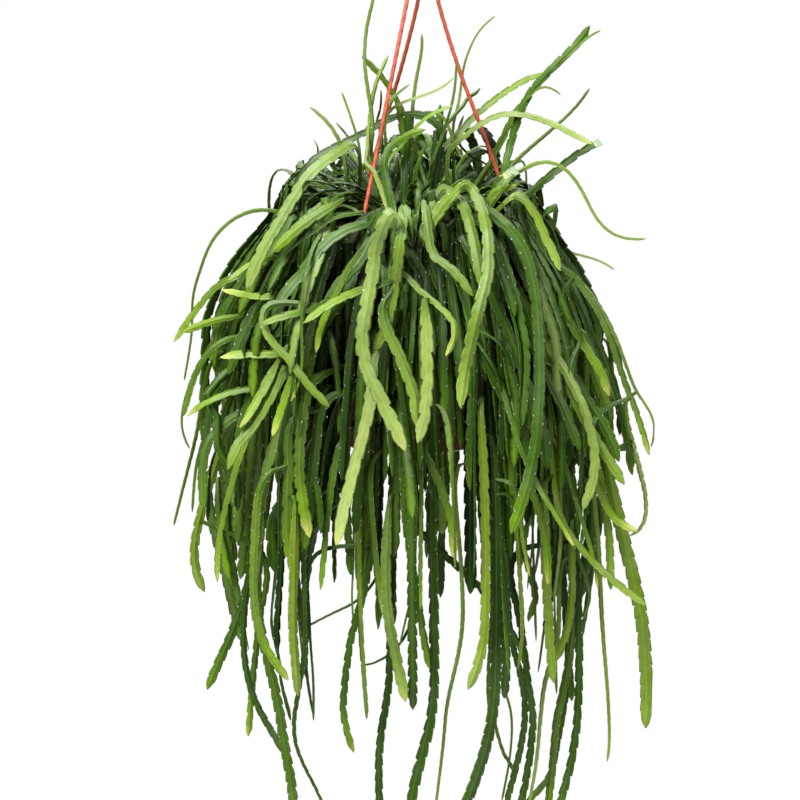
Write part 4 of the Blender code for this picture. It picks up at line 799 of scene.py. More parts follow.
def addStem(stems, line, width, kind, clump, rng, look=None, shown=0):
    # Adds a stem to those of its clump, laid over them
    line = passedOver(cleared(line, width, clump), width, stems, kind == "placed")
    line = keptClear(line, width, clump)
    stems.append(newStem(line, width, kind, clump, rng, growth["turned"][kind], look, shown))


def keptInView(line):
    # Draws a line in sideways, towards its foot, where it would leave the plant's outline as seen
    # from the front
    foot = line[0].x
    share = 1
    for point in line:
        outside = seenOutside(point)
        if outside > 0:
            share = min(share, max(growth["leastSpread"], 1 - outside / max(1, abs(point.x - foot))))
    return [Vector((foot + (point.x - foot) * share, point.y, point.z)) for point in line]


def growStems(stems, habitName, count, clump, rng):
    # Spreads stems of one habit over the sector, each the draw that has most room round it
    low, high = clump["sector"]
    low, high = low + growth["edge"], high - growth["edge"]
    near, nearCost = growth["touching"]
    tree, _ = treeOf(stems)
    for index in range(count):
        best = None
        for _ in range(growth["draws"]):
            share = (index + rng.uniform(0.1, 0.9)) / count
            azimuth = math.radians(low + (high - low) * share)
            line, width = grownRoute(habits[habitName], azimuth, clump, stems, rng)
            line = keptInView(line)
            spaces = [tree.find(point)[2] for point in line[5:]]
            room = sum(min(growth["enough"], space) for space in spaces) / len(spaces)
            touching = sum(1 for space in spaces if space < width / 2 + near)
            score = room - growth["trespass"] * trespass(line, width, clump) - nearCost * touching
            if best is None or score > best[0]:
                best = (score, line, width)
        addStem(stems, best[1], best[2], "grown", clump, rng)
        tree, _ = treeOf(stems)


def stemRoutes(name):
    # All stems of a clump, from the inside out: those against the pot, the listed ones from
    # the far ones to the near ones, then the rest
    clump = clumps[name]
    rng = random.Random(clump["seed"])
    stems = []
    lining, *others = grown[name]
    growStems(stems, *lining, clump, rng)
    for spec in sorted(placedStems.get(name, []), key=lambda spec: -spec[2]):
        line, shown = placedRoute(spec, clump, stems, rng)
        addStem(stems, line, spec[0], "placed", clump, rng, spec[3], shown)
    for habitName, count in others:
        growStems(stems, habitName, count, clump, rng)
    return stems


def stemFrames(stem, spacing):
    # How far along, centre, side, face and forward directions at rings along a stem. The face is
    # carried back from the tip, where it looks outwards, without sudden turns.
    targets = ringTargets(stem, spacing)
    points = pointsAt(stem["line"], targets)
    whole = points[-1] - points[0]
    outward = Vector((whole.x, whole.y, 0))
    outward = outward.normalized() if outward.length > 5 else Vector((0, -1, 0))
    sideways = Vector((-outward.y, outward.x, 0))
    toViewer = Vector(growth["faceWay"]) * (growth["facedToViewer"] if stem["kind"] == "placed" else 0)
    leastLike, drawn = growth["faceFollows"]
    last = len(points) - 1
    aheads = [(points[min(index + 1, last)] - points[max(index - 1, 0)]).normalized()
              for index in range(last + 1)]
    frames = []
    face = None
    for index in range(last, -1, -1):
        ahead = aheads[index]
        wanted = ahead.cross(sideways) + toViewer
        wanted = (wanted - ahead * wanted.dot(ahead)).normalized()
        if face is None:
            face = wanted
        else:
            face = aheads[index + 1].rotation_difference(ahead) @ face
            if wanted.dot(face) > leastLike:
                face = face + wanted * drawn
            face = (face - ahead * face.dot(ahead)).normalized()
        twist = Matrix.Rotation(stem["turn"] * (growth["turnedAtFoot"] + index / last), 3, ahead)
        frames.append((targets[index], points[index], twist @ ahead.cross(face), twist @ face, ahead))
    return frames[::-1]


allStems = {name: stemRoutes(name) for name in clumps}
print("stems grown:", sum(len(stems) for stems in allStems.values()))


# Stems between the others, which are left out of the solids: they hide the pot and fill the heart
# of the plant. reach is the share of the plant's outline that they stay within.
fillers = {
    "seed": 500,
    "overlap": 14,                  # degrees by which they may stand in the next clump's sector
    "spread": 9,                    # and by which they leave a crown past the edges of its sector
    "draws": 7,
    "goodEnough": 1,                # a draw that strays less is taken at once
    "worst": 7,                     # and one that strays more is left out
    "leastReach": 96,               # they are never drawn in nearer to the axis than this
    "reachSpread": (0.84, 1),
    "strandCost": 40,               # what it counts that one hides a strand, or a listed stem
    "placedCost": 0.4,
    "habits": {
        "apron": {"foot": (16, 28), "rise": (66, 86), "bend": (55, 90), "hang": (-90, -84),
                  "length": (160, 350), "width": (7, 11), "drift": 0.25},
        "dome": {"foot": (10, 22), "rise": (38, 62), "bend": (120, 210), "hang": (-84, -62),
                 "length": (190, 320), "width": (8, 12), "drift": 0.4},
        "fall": {"foot": (14, 30), "rise": (55, 82), "bend": (70, 170), "hang": (-88, -76),
                 "length": (240, 470), "width": (5.5, 10), "drift": 0.45},
        "heart": {"foot": (8, 22), "rise": (50, 88), "bend": (40, 110), "hang": (-70, 45),
                  "length": (45, 105), "width": (4, 9), "drift": 0.7},
        "slant": {"foot": (12, 26), "rise": (48, 74), "bend": (70, 150), "hang": (-78, -56),
                  "length": (170, 330), "width": (7, 11), "drift": 0.9},
        "fork": {"foot": (4, 10), "rise": (-60, 10), "bend": (40, 110), "hang": (-89, -66),
                 "length": (70, 200), "width": (6, 10), "drift": 0.6},
        "trail": {"foot": (14, 28), "rise": (58, 82), "bend": (70, 140), "hang": (-89, -82),
                  "length": (390, 510), "width": (6, 9.5), "drift": 0.3},
    },
    "front": {"reach": 0.8, "counts": [("apron", 36), ("heart", 26), ("slant", 34), ("dome", 26),
                                       ("fork", 36), ("fall", 12), ("trail", 8)]},
    "right": {"reach": 0.98, "counts": [("apron", 18), ("fall", 14), ("heart", 14), ("dome", 24),
                                        ("slant", 16), ("fork", 26), ("trail", 3)]},
    "back_right": {"reach": 0.92, "counts": [("apron", 20), ("fall", 18), ("heart", 14), ("dome", 22),
                                             ("slant", 14), ("fork", 26)]},
    "left": {"reach": 0.98, "counts": [("apron", 18), ("fall", 12), ("heart", 12), ("dome", 22),
                                       ("slant", 14), ("fork", 24), ("trail", 2)]},
}
fillers["back_left"] = fillers["back_right"]


def pulledIn(line, share):
    # Keeps a line within a share of the plant's outline
    kept = []
    for point in line:
        span = math.hypot(point.x, point.y)
        reach = max(reachAt(point.z) * share, fillers["leastReach"])
        if span > reach:
            point = Vector((point.x * reach / span, point.y * reach / span, point.z))
        kept.append(point)
    return kept


# More stems given one by one, with the same figures as placedStems: broad dark ones that fan out below
# the others and grow from a crown, and ones that start in the mass of stems
fans = {
    "front": [
        (11, -84, -104, (0.34, 0.4, 0.1), [(-27, 9), (-52, 3), (-70, -12), (-80, -28), (-99, -48),
         (-110, -70)]),
        (10, -104, -112, (0.3, 0.5, 0.2), [(-37, -19), (-48, -28), (-58, -43), (-69, -68), (-76, -93),
         (-82, -121)]),
        (9.5, -96, -98, (0.32, 0.4, 0.2), [(-46, -41), (-64, -64), (-83, -101), (-98, -146), (-108, -184)]),
        (9.5, -100, -112, (0.28, 0.5, 0.1), [(16, -28), (33, -53), (49, -83), (66, -114), (79, -139),
         (88, -170)]),
        (9, -96, -104, (0.24, 0.4, 0.1), [(65, -62), (79, -93), (91, -121), (100, -146), (106, -175)]),
        (9.5, -96, -104, (0.34, 0.4, 0.3), [(44, -11), (59, -41), (74, -75), (86, -112), (93, -154)]),
        (9, -100, -106, (0.3, 0.5, 0.1), [(-8, -2), (4, -22), (16, -48), (24, -80), (28, -118), (30, -160)]),
        (10, -80, -84, (0.25, 0.5, 0.2), [(50, -50), (55, -90), (59, -125), (60, -160), (58, -200)]),
    ],
    "right": [
        (9.5, -70, -84, (0.36, 0.4, 0.2), [(69, -33), (79, -46), (88, -63), (103, -95), (112, -125)]),
        (9.5, -46, -58, (0.42, 0.5, 0.3), [(99, -19), (116, -53), (128, -81), (141, -112), (150, -140)]),
        (9, -60, -72, (0.36, 0.5, 0.2), [(100, -66), (114, -91), (132, -124), (147, -146), (156, -170)]),
        (9, -36, -46, (0.3, 0.4, 0.2), [(82, 0), (103, -26), (121, -56), (138, -90), (153, -124)]),
        (8, -20, -28, (0.26, 0.5, 0.4), [(96, -10), (122, -44), (142, -86), (158, -134), (166, -180)]),
    ],
    "left": [
        (10, -60, -66, (0.3, 0.4, 0.2), [(-61, -4), (-83, -20), (-106, -41), (-124, -71), (-137, -105)]),
        (9, -36, -40, (0.26, 0.4, 0.4), [(-91, 0), (-112, -15), (-128, -38), (-142, -64), (-150, -96)]),
        (9, -70, -74, (0.34, 0.6, 0.3), [(-80, -50), (-100, -76), (-116, -110), (-128, -150), (-134, -190)]),
        (8, -30, -36, (0.24, 0.5, 0.3), [(-98, -20), (-124, -60), (-144, -104), (-154, -150), (-158, -196)]),
    ],
}
twigs = {
    "front": [
        (2.8, -95, -95, (0.5, 0.3, 0.1), [(-38, -110), (-42, -190), (-43, -244), (-44, -270), (-43, -289)]),
        (3.0, -92, -92, (0.6, 0.3, 0.2), [(5, -130), (4, -215), (2, -262), (-3, -285), (-8, -307)]),
        (2.4, -90, -84, (0.3, 0.4, 0.1), [(-2, -296), (-8, -306), (-17, -315), (-28, -321), (-38, -323)]),
        (8.0, 12, -16, (0.14, 0.2, 0.1), [(30, 50), (27, 66), (20, 83), (5, 91), (-17, 87), (-38, 75),
         (-59, 65), (-76, 54), (-90, 33)]),
        (5.5, -4, -8, (0.42, 0.7, 0.1), [(6, 52), (1, 70), (-6, 92), (-14, 107), (-22, 119), (-30, 127),
         (-37, 134)]),
        (3.4, -32, -34, (0.7, 0.3, 0.3), [(-24, 64), (-21, 82), (-17, 98), (-9, 107), (-1, 113)]),
        (3.2, -14, -20, (0.62, 0.3, 0.3), [(4, 90), (14, 92), (22, 90), (27, 84), (31, 73), (35, 64),
         (39, 58)]),
        (7.0, -124, -132, (0.45, 0.5, 0.8), [(-35, -8), (-47, -25), (-58, -47), (-67, -68), (-71, -88)]),
        (6.5, -126, -134, (0.5, 0.6, 0.9), [(-90, -106), (-94, -120), (-99, -136), (-104, -151)]),
        (8.5, -72, -66, (0.32, 0.4, 0.2), [(-20, -170), (-2, -212), (22, -237), (48, -260), (67, -284),
         (81, -309), (88, -324)]),
        (7.5, -96, -94, (0.45, 0.6, 0.9), [(84, -130), (90, -186), (97, -212), (102, -238), (103, -262)]),
        (6.5, -64, -60, (0.32, 0.5, 0.4), [(78, -150), (82, -222), (88, -249), (93, -270), (88, -290)]),
    ],
    "right": [
        (7.5, -84, -100, (0.6, 0.7, 0.6), [(77, 29), (86, 25), (94, 14), (101, -2), (107, -14), (112, -27)]),
        (3.0, 6, 10, (0.6, 0.2, 0.2), [(38, 22), (47, 36), (56, 50), (65, 63), (73, 76)]),
        (6.0, 10, 16, (0.4, 0.4, 0.2), [(46, 30), (58, 52), (68, 72), (77, 90), (84, 100)]),
        (3.4, -44, -36, (0.5, 0.3, 0.2), [(56, -170), (57, -240), (62, -304), (68, -334), (75, -360),
         (74, -390), (68, -424)]),
        (5.5, -40, -34, (0.45, 0.6, 0.3), [(60, -180), (61, -260), (58, -340), (63, -367), (69, -388),
         (77, -404), (72, -426)]),
        (5.6, -50, -40, (0.25, 0.2, 0.2), [(71, -180), (72, -240), (74, -296), (80, -321), (85, -346),
         (85, -367), (81, -390), (75, -413), (71, -428)]),
        (4.5, -64, -60, (0.3, 0.5, 0.3), [(112, -190), (122, -232), (131, -256), (134, -272), (129, -288)]),
        (6.0, -78, -78, (0.4, 0.6, 0.9), [(112, -160), (124, -200), (133, -228), (138, -248), (140, -265)]),
        (6.0, -22, -30, (0.4, 0.5, 0.3), [(121, -225), (121, -290), (117, -340), (110, -380), (104, -405),
         (89, -424), (82, -434)]),
    ],
    "left": [
        (9.0, -84, -96, (0.5, 0.45, 0.5), [(-50, 27), (-69, 16), (-87, 3), (-104, -13)]),
        (4.0, -84, -90, (0.45, 0.3, 0.1), [(-35, 17), (-57, 13), (-75, 1), (-87, -8), (-95, -15)]),
        (9.2, -114, -128, (0.56, 0.5, 0.8), [(-99, -93), (-106, -107), (-113, -120), (-121, -133),
         (-129, -145)]),
        (9.5, -116, -132, (0.6, 0.3, 0.3), [(-95, -98), (-104, -119), (-117, -141), (-130, -157),
         (-138, -176)]),
        (9, -114, -118, (0.52, 0.3, 0.2), [(-96, -132), (-102, -152), (-107, -172), (-111, -193),
         (-114, -214), (-115, -240)]),
    ],
}


def eyePlaced(spec):
    # The line of a stem whose points are all listed, its depth changing evenly
    _, near, far, _, seen = spec
    last = len(seen) - 1
    return [realPlace(*spot, near + (far - near) * index / last) for index, spot in enumerate(seen)]


def placedFillers(name, rng):
    stems = []
    clump = clumps[name]
    for spec in fans.get(name, []):
        width, look = spec[0], spec[3]
        line, shown = placedRoute(spec, clump, [], rng)
        line = cleared(line, width, clump)
        stems.append(newStem(line, width, "placed", clump, rng, growth["turned"]["fan"], look, shown))
    for spec in twigs.get(name, []):
        line = smoothLine(eyePlaced(spec), rooting["curveSteps"])
        stems.append(newStem(line, spec[0], "placed", clump, rng, growth["turned"]["twig"], spec[3]))
    return stems


# What fillers should leave in view from the front, in millimetres
inView = {
    "strandsFrom": {"strand_front": 8, "strand_right": 44},     # where a strand leaves the stems
    "strandsTo": 130,
    "strandStep": 12,
    "strandRoom": (4, 8),           # beside and above a strand
    "placedStart": 6,
    "placedStep": 10,
    "placedRoom": 3,
    "nearer": 0.001,                # how much nearer counts, as a share of the viewer's distance
}
strandSpots = [spot for name, start in inView["strandsFrom"].items()
               for spot in pointsAt(strandLines[name],
                                    range(start, inView["strandsTo"], inView["strandStep"]))]


def hidesStrand(line, width):
    # Whether a stem would stand between the viewer and a strand
    slope = math.tan(view["pitch"])
    beside, above = inView["strandRoom"]
    for spot in strandSpots:
        for point in line:
            nearer = spot.y - point.y
            if nearer > 0 and abs(point.x - spot.x) < width / 2 + beside:
                if abs(point.z - spot.z - nearer * slope) < above:
                    return True
    return False


def seenAt(point):
    # Where a point is seen from the front, across and up from the rim's middle, and how near it is
    sine, cosine = math.sin(view["pitch"]), math.cos(view["pitch"])
    share = (point.y * cosine - point.z * sine + view["distance"]) / view["distance"]
    up = (point.z * cosine + point.y * sine + view["rimAbove"]) / share - view["rimAbove"]
    return (point.x + view["rimRight"]) / share - view["rimRight"], up, share


def shownSpots():
    # Places along the listed stems, as seen from the front, with how near each one is
    found = []
    for stems in allStems.values():
        for stem in stems:
            if stem["kind"] == "placed":
                start = int(stem["shown"]) + inView["placedStart"]
                end = int(distancesAlong(stem["line"])[-1])
                spots = pointsAt(stem["line"], range(start, end, inView["placedStep"]))
                found += [seenAt(spot) for spot in spots]
    tree = KDTree(len(found))
    for index, (across, up, _) in enumerate(found):
        tree.insert((across, up, 0), index)
    tree.balance()
    return found, tree


placedSpots, placedTree = shownSpots()


def hidesPlaced(line, width):
    # How many places along the listed stems a stem would stand in front of
    hidden = set()
    for point in line[::2]:
        across, up, share = seenAt(point)
        for _, index, _ in placedTree.find_range((across, up, 0), width / 2 + inView["placedRoom"]):
            if placedSpots[index][2] > share + inView["nearer"]:
                hidden.add(index)
    return len(hidden)


def fillerRoutes(name):
    # The stems that stand between those of a clump, each the draw that strays and hides least
    rng = random.Random(clumps[name]["seed"] + fillers["seed"])
    low, high = clumps[name]["sector"]
    wide = dict(clumps[name], sector=(low - fillers["overlap"], high + fillers["overlap"]))
    low, high = low - fillers["spread"], high + fillers["spread"]
    stems = list(allStems[name])
    for habitName, count in fillers[name]["counts"]:
        for index in range(count):
            best = None
            for _ in range(fillers["draws"]):
                share = (index + rng.uniform(0, 1)) / count
                azimuth = math.radians(low + (high - low) * share)
                line, width = grownRoute(fillers["habits"][habitName], azimuth, wide, stems, rng)
                reach = fillers[name]["reach"] * rng.uniform(*fillers["reachSpread"])
                line = cleared(pulledIn(line, reach), width, wide)
                stray = max(seenOutside(point) for point in line)
                stray += fillers["strandCost"] * hidesStrand(line, width)
                stray += fillers["placedCost"] * hidesPlaced(line, width)
                if best is None or stray < best[0]:
                    best = (stray, line, width)
                if stray < fillers["goodEnough"]:
                    break
            if best[0] < fillers["worst"]:
                stems.append(newStem(*best[1:], "filler", wide, rng, growth["turned"]["filler"]))
    return stems[len(allStems[name]):] + placedFillers(name, rng)


# A stem's fine form: across from edge to edge, out from the face as a share of the rib
blade = {
    "notchPitch": 11,
    "notchDepth": 0.3,
    "ringsAt": (0, 0.4, 0.5, 0.9),  # where the rings of a stem lie between a notch and the next
    "pitchSpread": (0.85, 1.15),
    "depthSpread": (0.65, 1.2),
    "usualWidth": 9,
    "pitchPower": 0.35,             # how the notches' pitch follows the width
    "leastWidth": 2.8,
    "shallowBelow": 5,              # a stem narrower than this has shallower notches
    "shallower": 0.6,
    "uneven": (0.18, 0.38, 2.4),    # how shallow a notch is at the mean, how much that varies, how fast
    "rib": 0.13,                    # how far the ribs stand out, as a share of the width
    "leastRib": 1.3,
    "tipRib": (0.35, 0.65),         # what is left of the rib at the tip, and what goes
    "section": {
        "placed": [(1, 0), (0.7, 0.1), (0.3, 0.34), (0.1, 0.95), (-0.1, 0.95), (-0.3, 0.34),
                   (-0.7, 0.1), (-1, 0), (-0.5, -0.24), (0, -0.5), (0.5, -0.24)],
        "others": [(1, 0), (0.4, 0.24), (0, 0.95), (-0.4, 0.24), (-1, 0), (-0.45, -0.26), (0.45, -0.26)],
    },
    "tipLength": 1.45,              # of the width, over which a stem narrows to its end
    "tipRings": (1, 0.7, 0.42, 0.2, 0.07, 0.01),
    "tipShape": (0.1, 0.78),
    "ringGap": 0.6,
    "widening": (0.04, 0.2),        # where along it a stem starts to widen, and over what share
    "thinnedBelow": 5.2,            # a stem narrower than this gets narrower towards its end
    "thinned": 0.4,
    "thinning": (0.45, 0.55),
    "wave": 0.07,                   # how far the edges wave up and down, as a share of the width
    "waveStep": 17,
    "farEdgeWave": -0.7,            # how far the other edge goes with it
    "boxMargin": 0.0002,
    "seeds": {"plant": 900, "between": 950},
}

# How light, fresh and yellow a stem is, by place, with painted shade where a stem lies covered, deep inside
# the plant or at its foot
shading = {
    "freshEnd": 62,                 # millimetres of the end that are fresh green, then yellow
    "yellowPower": 1.5,
    "shownOver": 50,                # millimetres over which the painted shade on a stem's covered start fades where it comes into view
    "shadeWhileCovered": 0.55,
    "insideFrom": (125, 35),        # where the painted shade inside the plant starts, and over what depth
    "insideBelow": 30,
    "insideAbove": 0.4,             # how far inside a place higher up counts as, for that painted shade
    "insideShade": 0.16,
    "cutMark": 2,                   # a shade that stands for the pale cut end
    "branchedBelow": -20,
    "branchedFoot": 0.24,
    "outFrom": (95, 60),            # where the outside starts, for a stem that wasn't listed; an outer one gets less painted shade
    "loose": (0.03, 0.46),
    "outside": 0.2,
    "odds": (0.16, 20),             # how often one is paler, and below what height
    "paler": 0.2,
    "palest": 0.7,
    "warmths": (0.2, 0.9),
    "yellows": (0, 0, 0.1, 0.3, 0.6),
}


def wrapped(shape, rings, closed=True):
    # A sheet of faces wrapped round into a skin through rings of points, with its seam and its
    # ends closed. Gives the vertices in the rings' order, the seam's doubles left out.
    around = len(rings[0])
    sheet = bmesh.ops.create_grid(shape, x_segments=around, y_segments=len(rings) - 1, size=1)["verts"]
    doubles = {}
    kept = []
    for row, ring in enumerate(rings):
        start = row * (around + 1)
        for column, spot in enumerate(ring):
            sheet[start + column].co = spot
            kept.append(sheet[start + column])
        sheet[start + around].co = ring[0]
        doubles[sheet[start + around]] = sheet[start]
    bmesh.ops.weld_verts(shape, targetmap=doubles)
    if closed:
        bmesh.ops.contextual_create(shape, geom=kept[:around])
        bmesh.ops.contextual_create(shape, geom=kept[-around:])
    return kept


def frameBetween(frames, target):
    # The side and face directions at a distance along a stem, between its rings
    index = 0
    while index < len(frames) - 2 and frames[index + 1][0] < target:
        index += 1
    low, high = frames[index], frames[index + 1]
    share = (target - low[0]) / max(0.001, high[0] - low[0])
    share = min(1, max(0, share))
    share = share * share * (3 - 2 * share)
    side = low[2].lerp(high[2], share).normalized()
    face = low[3].lerp(high[3], share)
    face = (face - side * face.dot(side)).normalized()
    return side, face


def lobe(turns, odd):
    # From 0 in a notch to 1 on the lobe between two: the edge swells towards the stem's tip and
    # then steps in. Some notches are shallower than others.
    full = blade["ringsAt"][-1]
    part = turns % 1
    swell = 1 - (1 - part / full) ** 2 if part < full + 0.01 else (1 - part) / (1 - full)
    mean, change, speed = blade["uneven"]
    shallow = mean + change * math.sin(math.floor(turns + 0.05) * speed + odd)
    return shallow + (1 - shallow) * swell


def insideBox(spot):
    # No edge of a stem stands outside the solids' box
    low, high = cadBox
    margin = blade["boxMargin"]
    return Vector([min(max(value, least + margin), most - margin)
                   for value, least, most in zip(spot, low, high)])


def shareOf(value, start, span):
    # From 0 at the start to 1 at the end of a span
    return min(1, max(0, (value - start) / span))


def stemSkin(shape, layers, stem, rng):
    # The skin of a stem, with its look and the place on the stem kept for the material
    detail = "placed" if stem["kind"] == "placed" else "others"
    frames = stemFrames(stem, growth["spacing"][detail])
    line = smoothLine(stem["line"], 3)
    length = distancesAlong(line)[-1]
    scale = length / max(0.001, frames[-1][0])
    frames = [(frame[0] * scale, *frame[1:]) for frame in frames]
    width = max(stem["width"], blade["leastWidth"])
    pitch = blade["notchPitch"] * (width / blade["usualWidth"]) ** blade["pitchPower"]
    pitch *= rng.uniform(*blade["pitchSpread"])
    depth = blade["notchDepth"] * (blade["shallower"] if width < blade["shallowBelow"] else 1)
    depth *= rng.uniform(*blade["depthSpread"])
    cut = bool(stem["look"]) and len(stem["look"]) > 3
    tip = 0 if cut else width * blade["tipLength"]
    leastRound, tipPower = blade["tipShape"]
    targets = [pitch * (count + part) for count in range(int(length / pitch) + 1)
               for part in blade["ringsAt"]]
    targets = [target for target in targets if target < length - tip - blade["ringGap"]]
    targets += [length - tip * share for share in ((0,) if cut else blade["tipRings"])]
    points = pointsAt(line, targets)
    shade, warmth, yellow = stem["look"][:3] if stem["look"] else looseLook(stem, rng)
    section = blade["section"][detail]
    ripple = rng.uniform(0, math.tau)
    rings = []
    for target, centre in zip(targets, points):
        side, face = frameBetween(frames, target)
        share = target / length
        grownShare = shareOf(share, *blade["widening"])
        full = growth["baseWidth"] + (width - growth["baseWidth"]) * grownShare
        if width < blade["thinnedBelow"]:
            start, span = blade["thinning"]
            full *= 1 - blade["thinned"] * max(0, share - start) / span
        roundness = 1
        if not cut and length - target < tip:
            roundness = max(leastRound, 1 - (1 - (length - target) / tip) ** 2) ** tipPower
        turns = target / pitch
        notched = depth * grownShare
        right = full / 2 * (1 - notched * (1 - lobe(turns, ripple))) * roundness
        left = full / 2 * (1 - notched * (1 - lobe(turns + 0.5, ripple + 2))) * roundness
        kept, goes = blade["tipRib"]
        rib = max(blade["leastRib"], blade["rib"] * full) * (kept + goes * roundness)
        wave = blade["wave"] * full * grownShare * math.sin(target / blade["waveStep"] + ripple)
        ring = []
        for across, out in section:
            edge = across * (right if across > 0 else left)
            rise = out * rib + wave * across * abs(across) * (1 if across > 0 else blade["farEdgeWave"])
            ring.append(insideBox(rimMiddle(centre + side * edge + face * rise)))
        rings.append(ring)
    skin = wrapped(shape, rings)
    around = len(section)
    # A stem that starts on another one, below the rim, gets no painted shade at its foot
    footShare = shading["branchedFoot"] if stem["line"][0].z < shading["branchedBelow"] else 0
    shownOver = shading["shownOver"]
    outer, insideOver = shading["insideFrom"]
    for number, vert in enumerate(skin):
        row, column = divmod(number, around)
        toTip = length - targets[row]
        fade = min(1, max(0, 1 - toTip / shading["freshEnd"]))
        # Painted shade on the start of a stem, where it lies covered by others before it comes into view
        hidden = 0
        if stem["shown"]:
            hidden = min(1, max(0, (stem["shown"] + shownOver / 2 - targets[row]) / shownOver))
        coveredShade = hidden * hidden * (3 - 2 * hidden)
        # Painted shade: a stem that isn't placed is darker where it lies deep inside the plant
        spot = points[row]
        inside = shading["insideAbove"]
        if spot.z < shading["insideBelow"]:
            inside = min(1, max(0, (outer - math.hypot(spot.x, spot.y)) / insideOver))
        shadedInside = shading["insideShade"] * inside * (stem["kind"] != "placed")
        pale = max(0, shade * (1 - shading["shadeWhileCovered"] * coveredShade) - shadedInside)
        if cut and toTip < stem["look"][3]:
            pale = shading["cutMark"]
        along = max(targets[row] / length, footShare)
        vert[layers["look"]] = (pale, warmth, yellow * fade ** shading["yellowPower"], along)
        vert[layers["place"]] = (section[column][0], targets[row] / pitch, stem["number"] % 7 / 7)
    return skin


def looseLook(stem, rng):
    # The look of a stem that wasn't listed: a random tone, with painted shade that makes it darker where it
    # lies deeper in the plant
    middle = stem["line"][len(stem["line"]) // 2]
    outness = shareOf(math.hypot(middle.x, middle.y), *shading["outFrom"])
    shade = rng.uniform(*shading["loose"]) + shading["outside"] * outness * rng.random()
    odds, below = shading["odds"]
    if rng.random() < odds and middle.z < below:
        shade += shading["paler"]
    warmth = rng.uniform(*shading["warmths"])
    return min(shade, shading["palest"]), warmth, rng.choice(shading["yellows"])


def smoothShaded(mesh, degrees=40):
    mesh.shade_smooth()
    mesh.set_sharp_from_angle(angle=math.radians(degrees))


def makeObject(name, shape, *finishes):
    mesh = bpy.data.meshes.new(name)
    shape.to_mesh(mesh)
    shape.free()
    thing = bpy.data.objects.new(name, mesh)
    scene.collection.objects.link(thing)
    for finish in finishes:
        mesh.materials.append(finish)
    return thing


def stemPiece(name, stems, seed, finishes, crown=None):
    # Every stem of a clump in one piece, with the mound that they stand in
    shape = bmesh.new()
    layers = {"look": shape.verts.layers.float_color.new("stemLook"),
              "place": shape.verts.layers.float_vector.new("stemPlace")}
    rng = random.Random(seed)
    for number, stem in enumerate(stems):
        stem["number"] = number
        stemSkin(shape, layers, stem, rng)
    bmesh.ops.recalc_face_normals(shape, faces=shape.faces)
    for face in shape.faces:
        face.smooth = True
    if crown:
        addMound(shape, crown)
    return makeObject(name, shape, *finishes)


# From the crown's middle as a share of its radius, and up from the soil
mound = {
    "gap": 0.3,
    "profile": [(0, 11), (0.5, 9), (0.85, 4), (1, -1), (1, -11.7), (0, -11.7)],
    "sides": 20,
}


def addMound(shape, clump):
    # The foot of a clump, in its socket in the soil. Its faces are the ones that aren't
    # smooth, and they have the second finish.
    radius = clump["radius"] - mound["gap"]
    verts = []
    for share, height in mound["profile"]:
        across = clump["crown"][0] + max(0.001, radius * share)
        verts.append(shape.verts.new(rimMiddle((across, clump["crown"][1], pot["soilTop"] + height))))
    edges = [shape.edges.new(pair) for pair in zip(verts, verts[1:])]
    bmesh.ops.spin(shape, geom=verts + edges, cent=rimMiddle((*clump["crown"], 0)), axis=(0, 0, 1),
                   angle=math.tau, steps=mound["sides"], use_merge=True)
    around = [vert for vert in shape.verts if any(not face.smooth for face in vert.link_faces)]
    bmesh.ops.remove_doubles(shape, verts=around, dist=0.00001)
    faces = [face for face in shape.faces if not face.smooth]
    bmesh.ops.recalc_face_normals(shape, faces=faces)
    for face in faces:
        face.material_index = 1


# Node helpers and the effects that several materials share

def addNode(tree, kind, inputs=None, **settings):
    node = tree.nodes.new(kind)
    for name, value in settings.items():
        setattr(node, name, value)
    for name, value in (inputs or {}).items():
        socket = node.inputs[name]
        if isinstance(value, bpy.types.NodeSocket):
            tree.links.new(value, socket)
        else:
            socket.default_value = value
    return node


def sumOf(tree, operation, first, second=0.0, third=0.0):
    # The outcome of any operation of the maths node
    return addNode(tree, "ShaderNodeMath", {0: first, 1: second, 2: third}, operation=operation).outputs[0]


def oneMinus(tree, value):
    return sumOf(tree, "SUBTRACT", 1.0, value)


def fromWhole(tree, value):
    # How far a value is from the nearest whole number
    part = sumOf(tree, "FRACT", sumOf(tree, "ADD", value, 0.5))
    return sumOf(tree, "ABSOLUTE", sumOf(tree, "SUBTRACT", part, 0.5))


def mixed(tree, share, first, second, blend="MIX"):
    node = addNode(tree, "ShaderNodeMix", data_type="RGBA", blend_type=blend)
    for name, value in (("Factor", share), ("A", first), ("B", second)):
        sockets = [socket for socket in node.inputs if socket.name == name and socket.enabled]
        if isinstance(value, bpy.types.NodeSocket):
            tree.links.new(value, sockets[0])
        else:
            sockets[0].default_value = value
    return [socket for socket in node.outputs if socket.enabled][0]


def ramped(tree, value, stops):
    # A value from 0 to 1 turned into a colour
    node = addNode(tree, "ShaderNodeValToRGB", {"Fac": value})
    ramp = node.color_ramp
    while len(ramp.elements) < len(stops):
        ramp.elements.new(0.5)
    for element, (place, colour) in zip(ramp.elements, stops):
        element.position = place
        element.color = colour
    return node.outputs["Color"]


def stepped(tree, value, low, high):
    # 0 below low, 1 above high, smooth between
    return addNode(tree, "ShaderNodeMapRange", {"Value": value, "From Min": low, "From Max": high},
                   interpolation_type="SMOOTHSTEP").outputs["Result"]


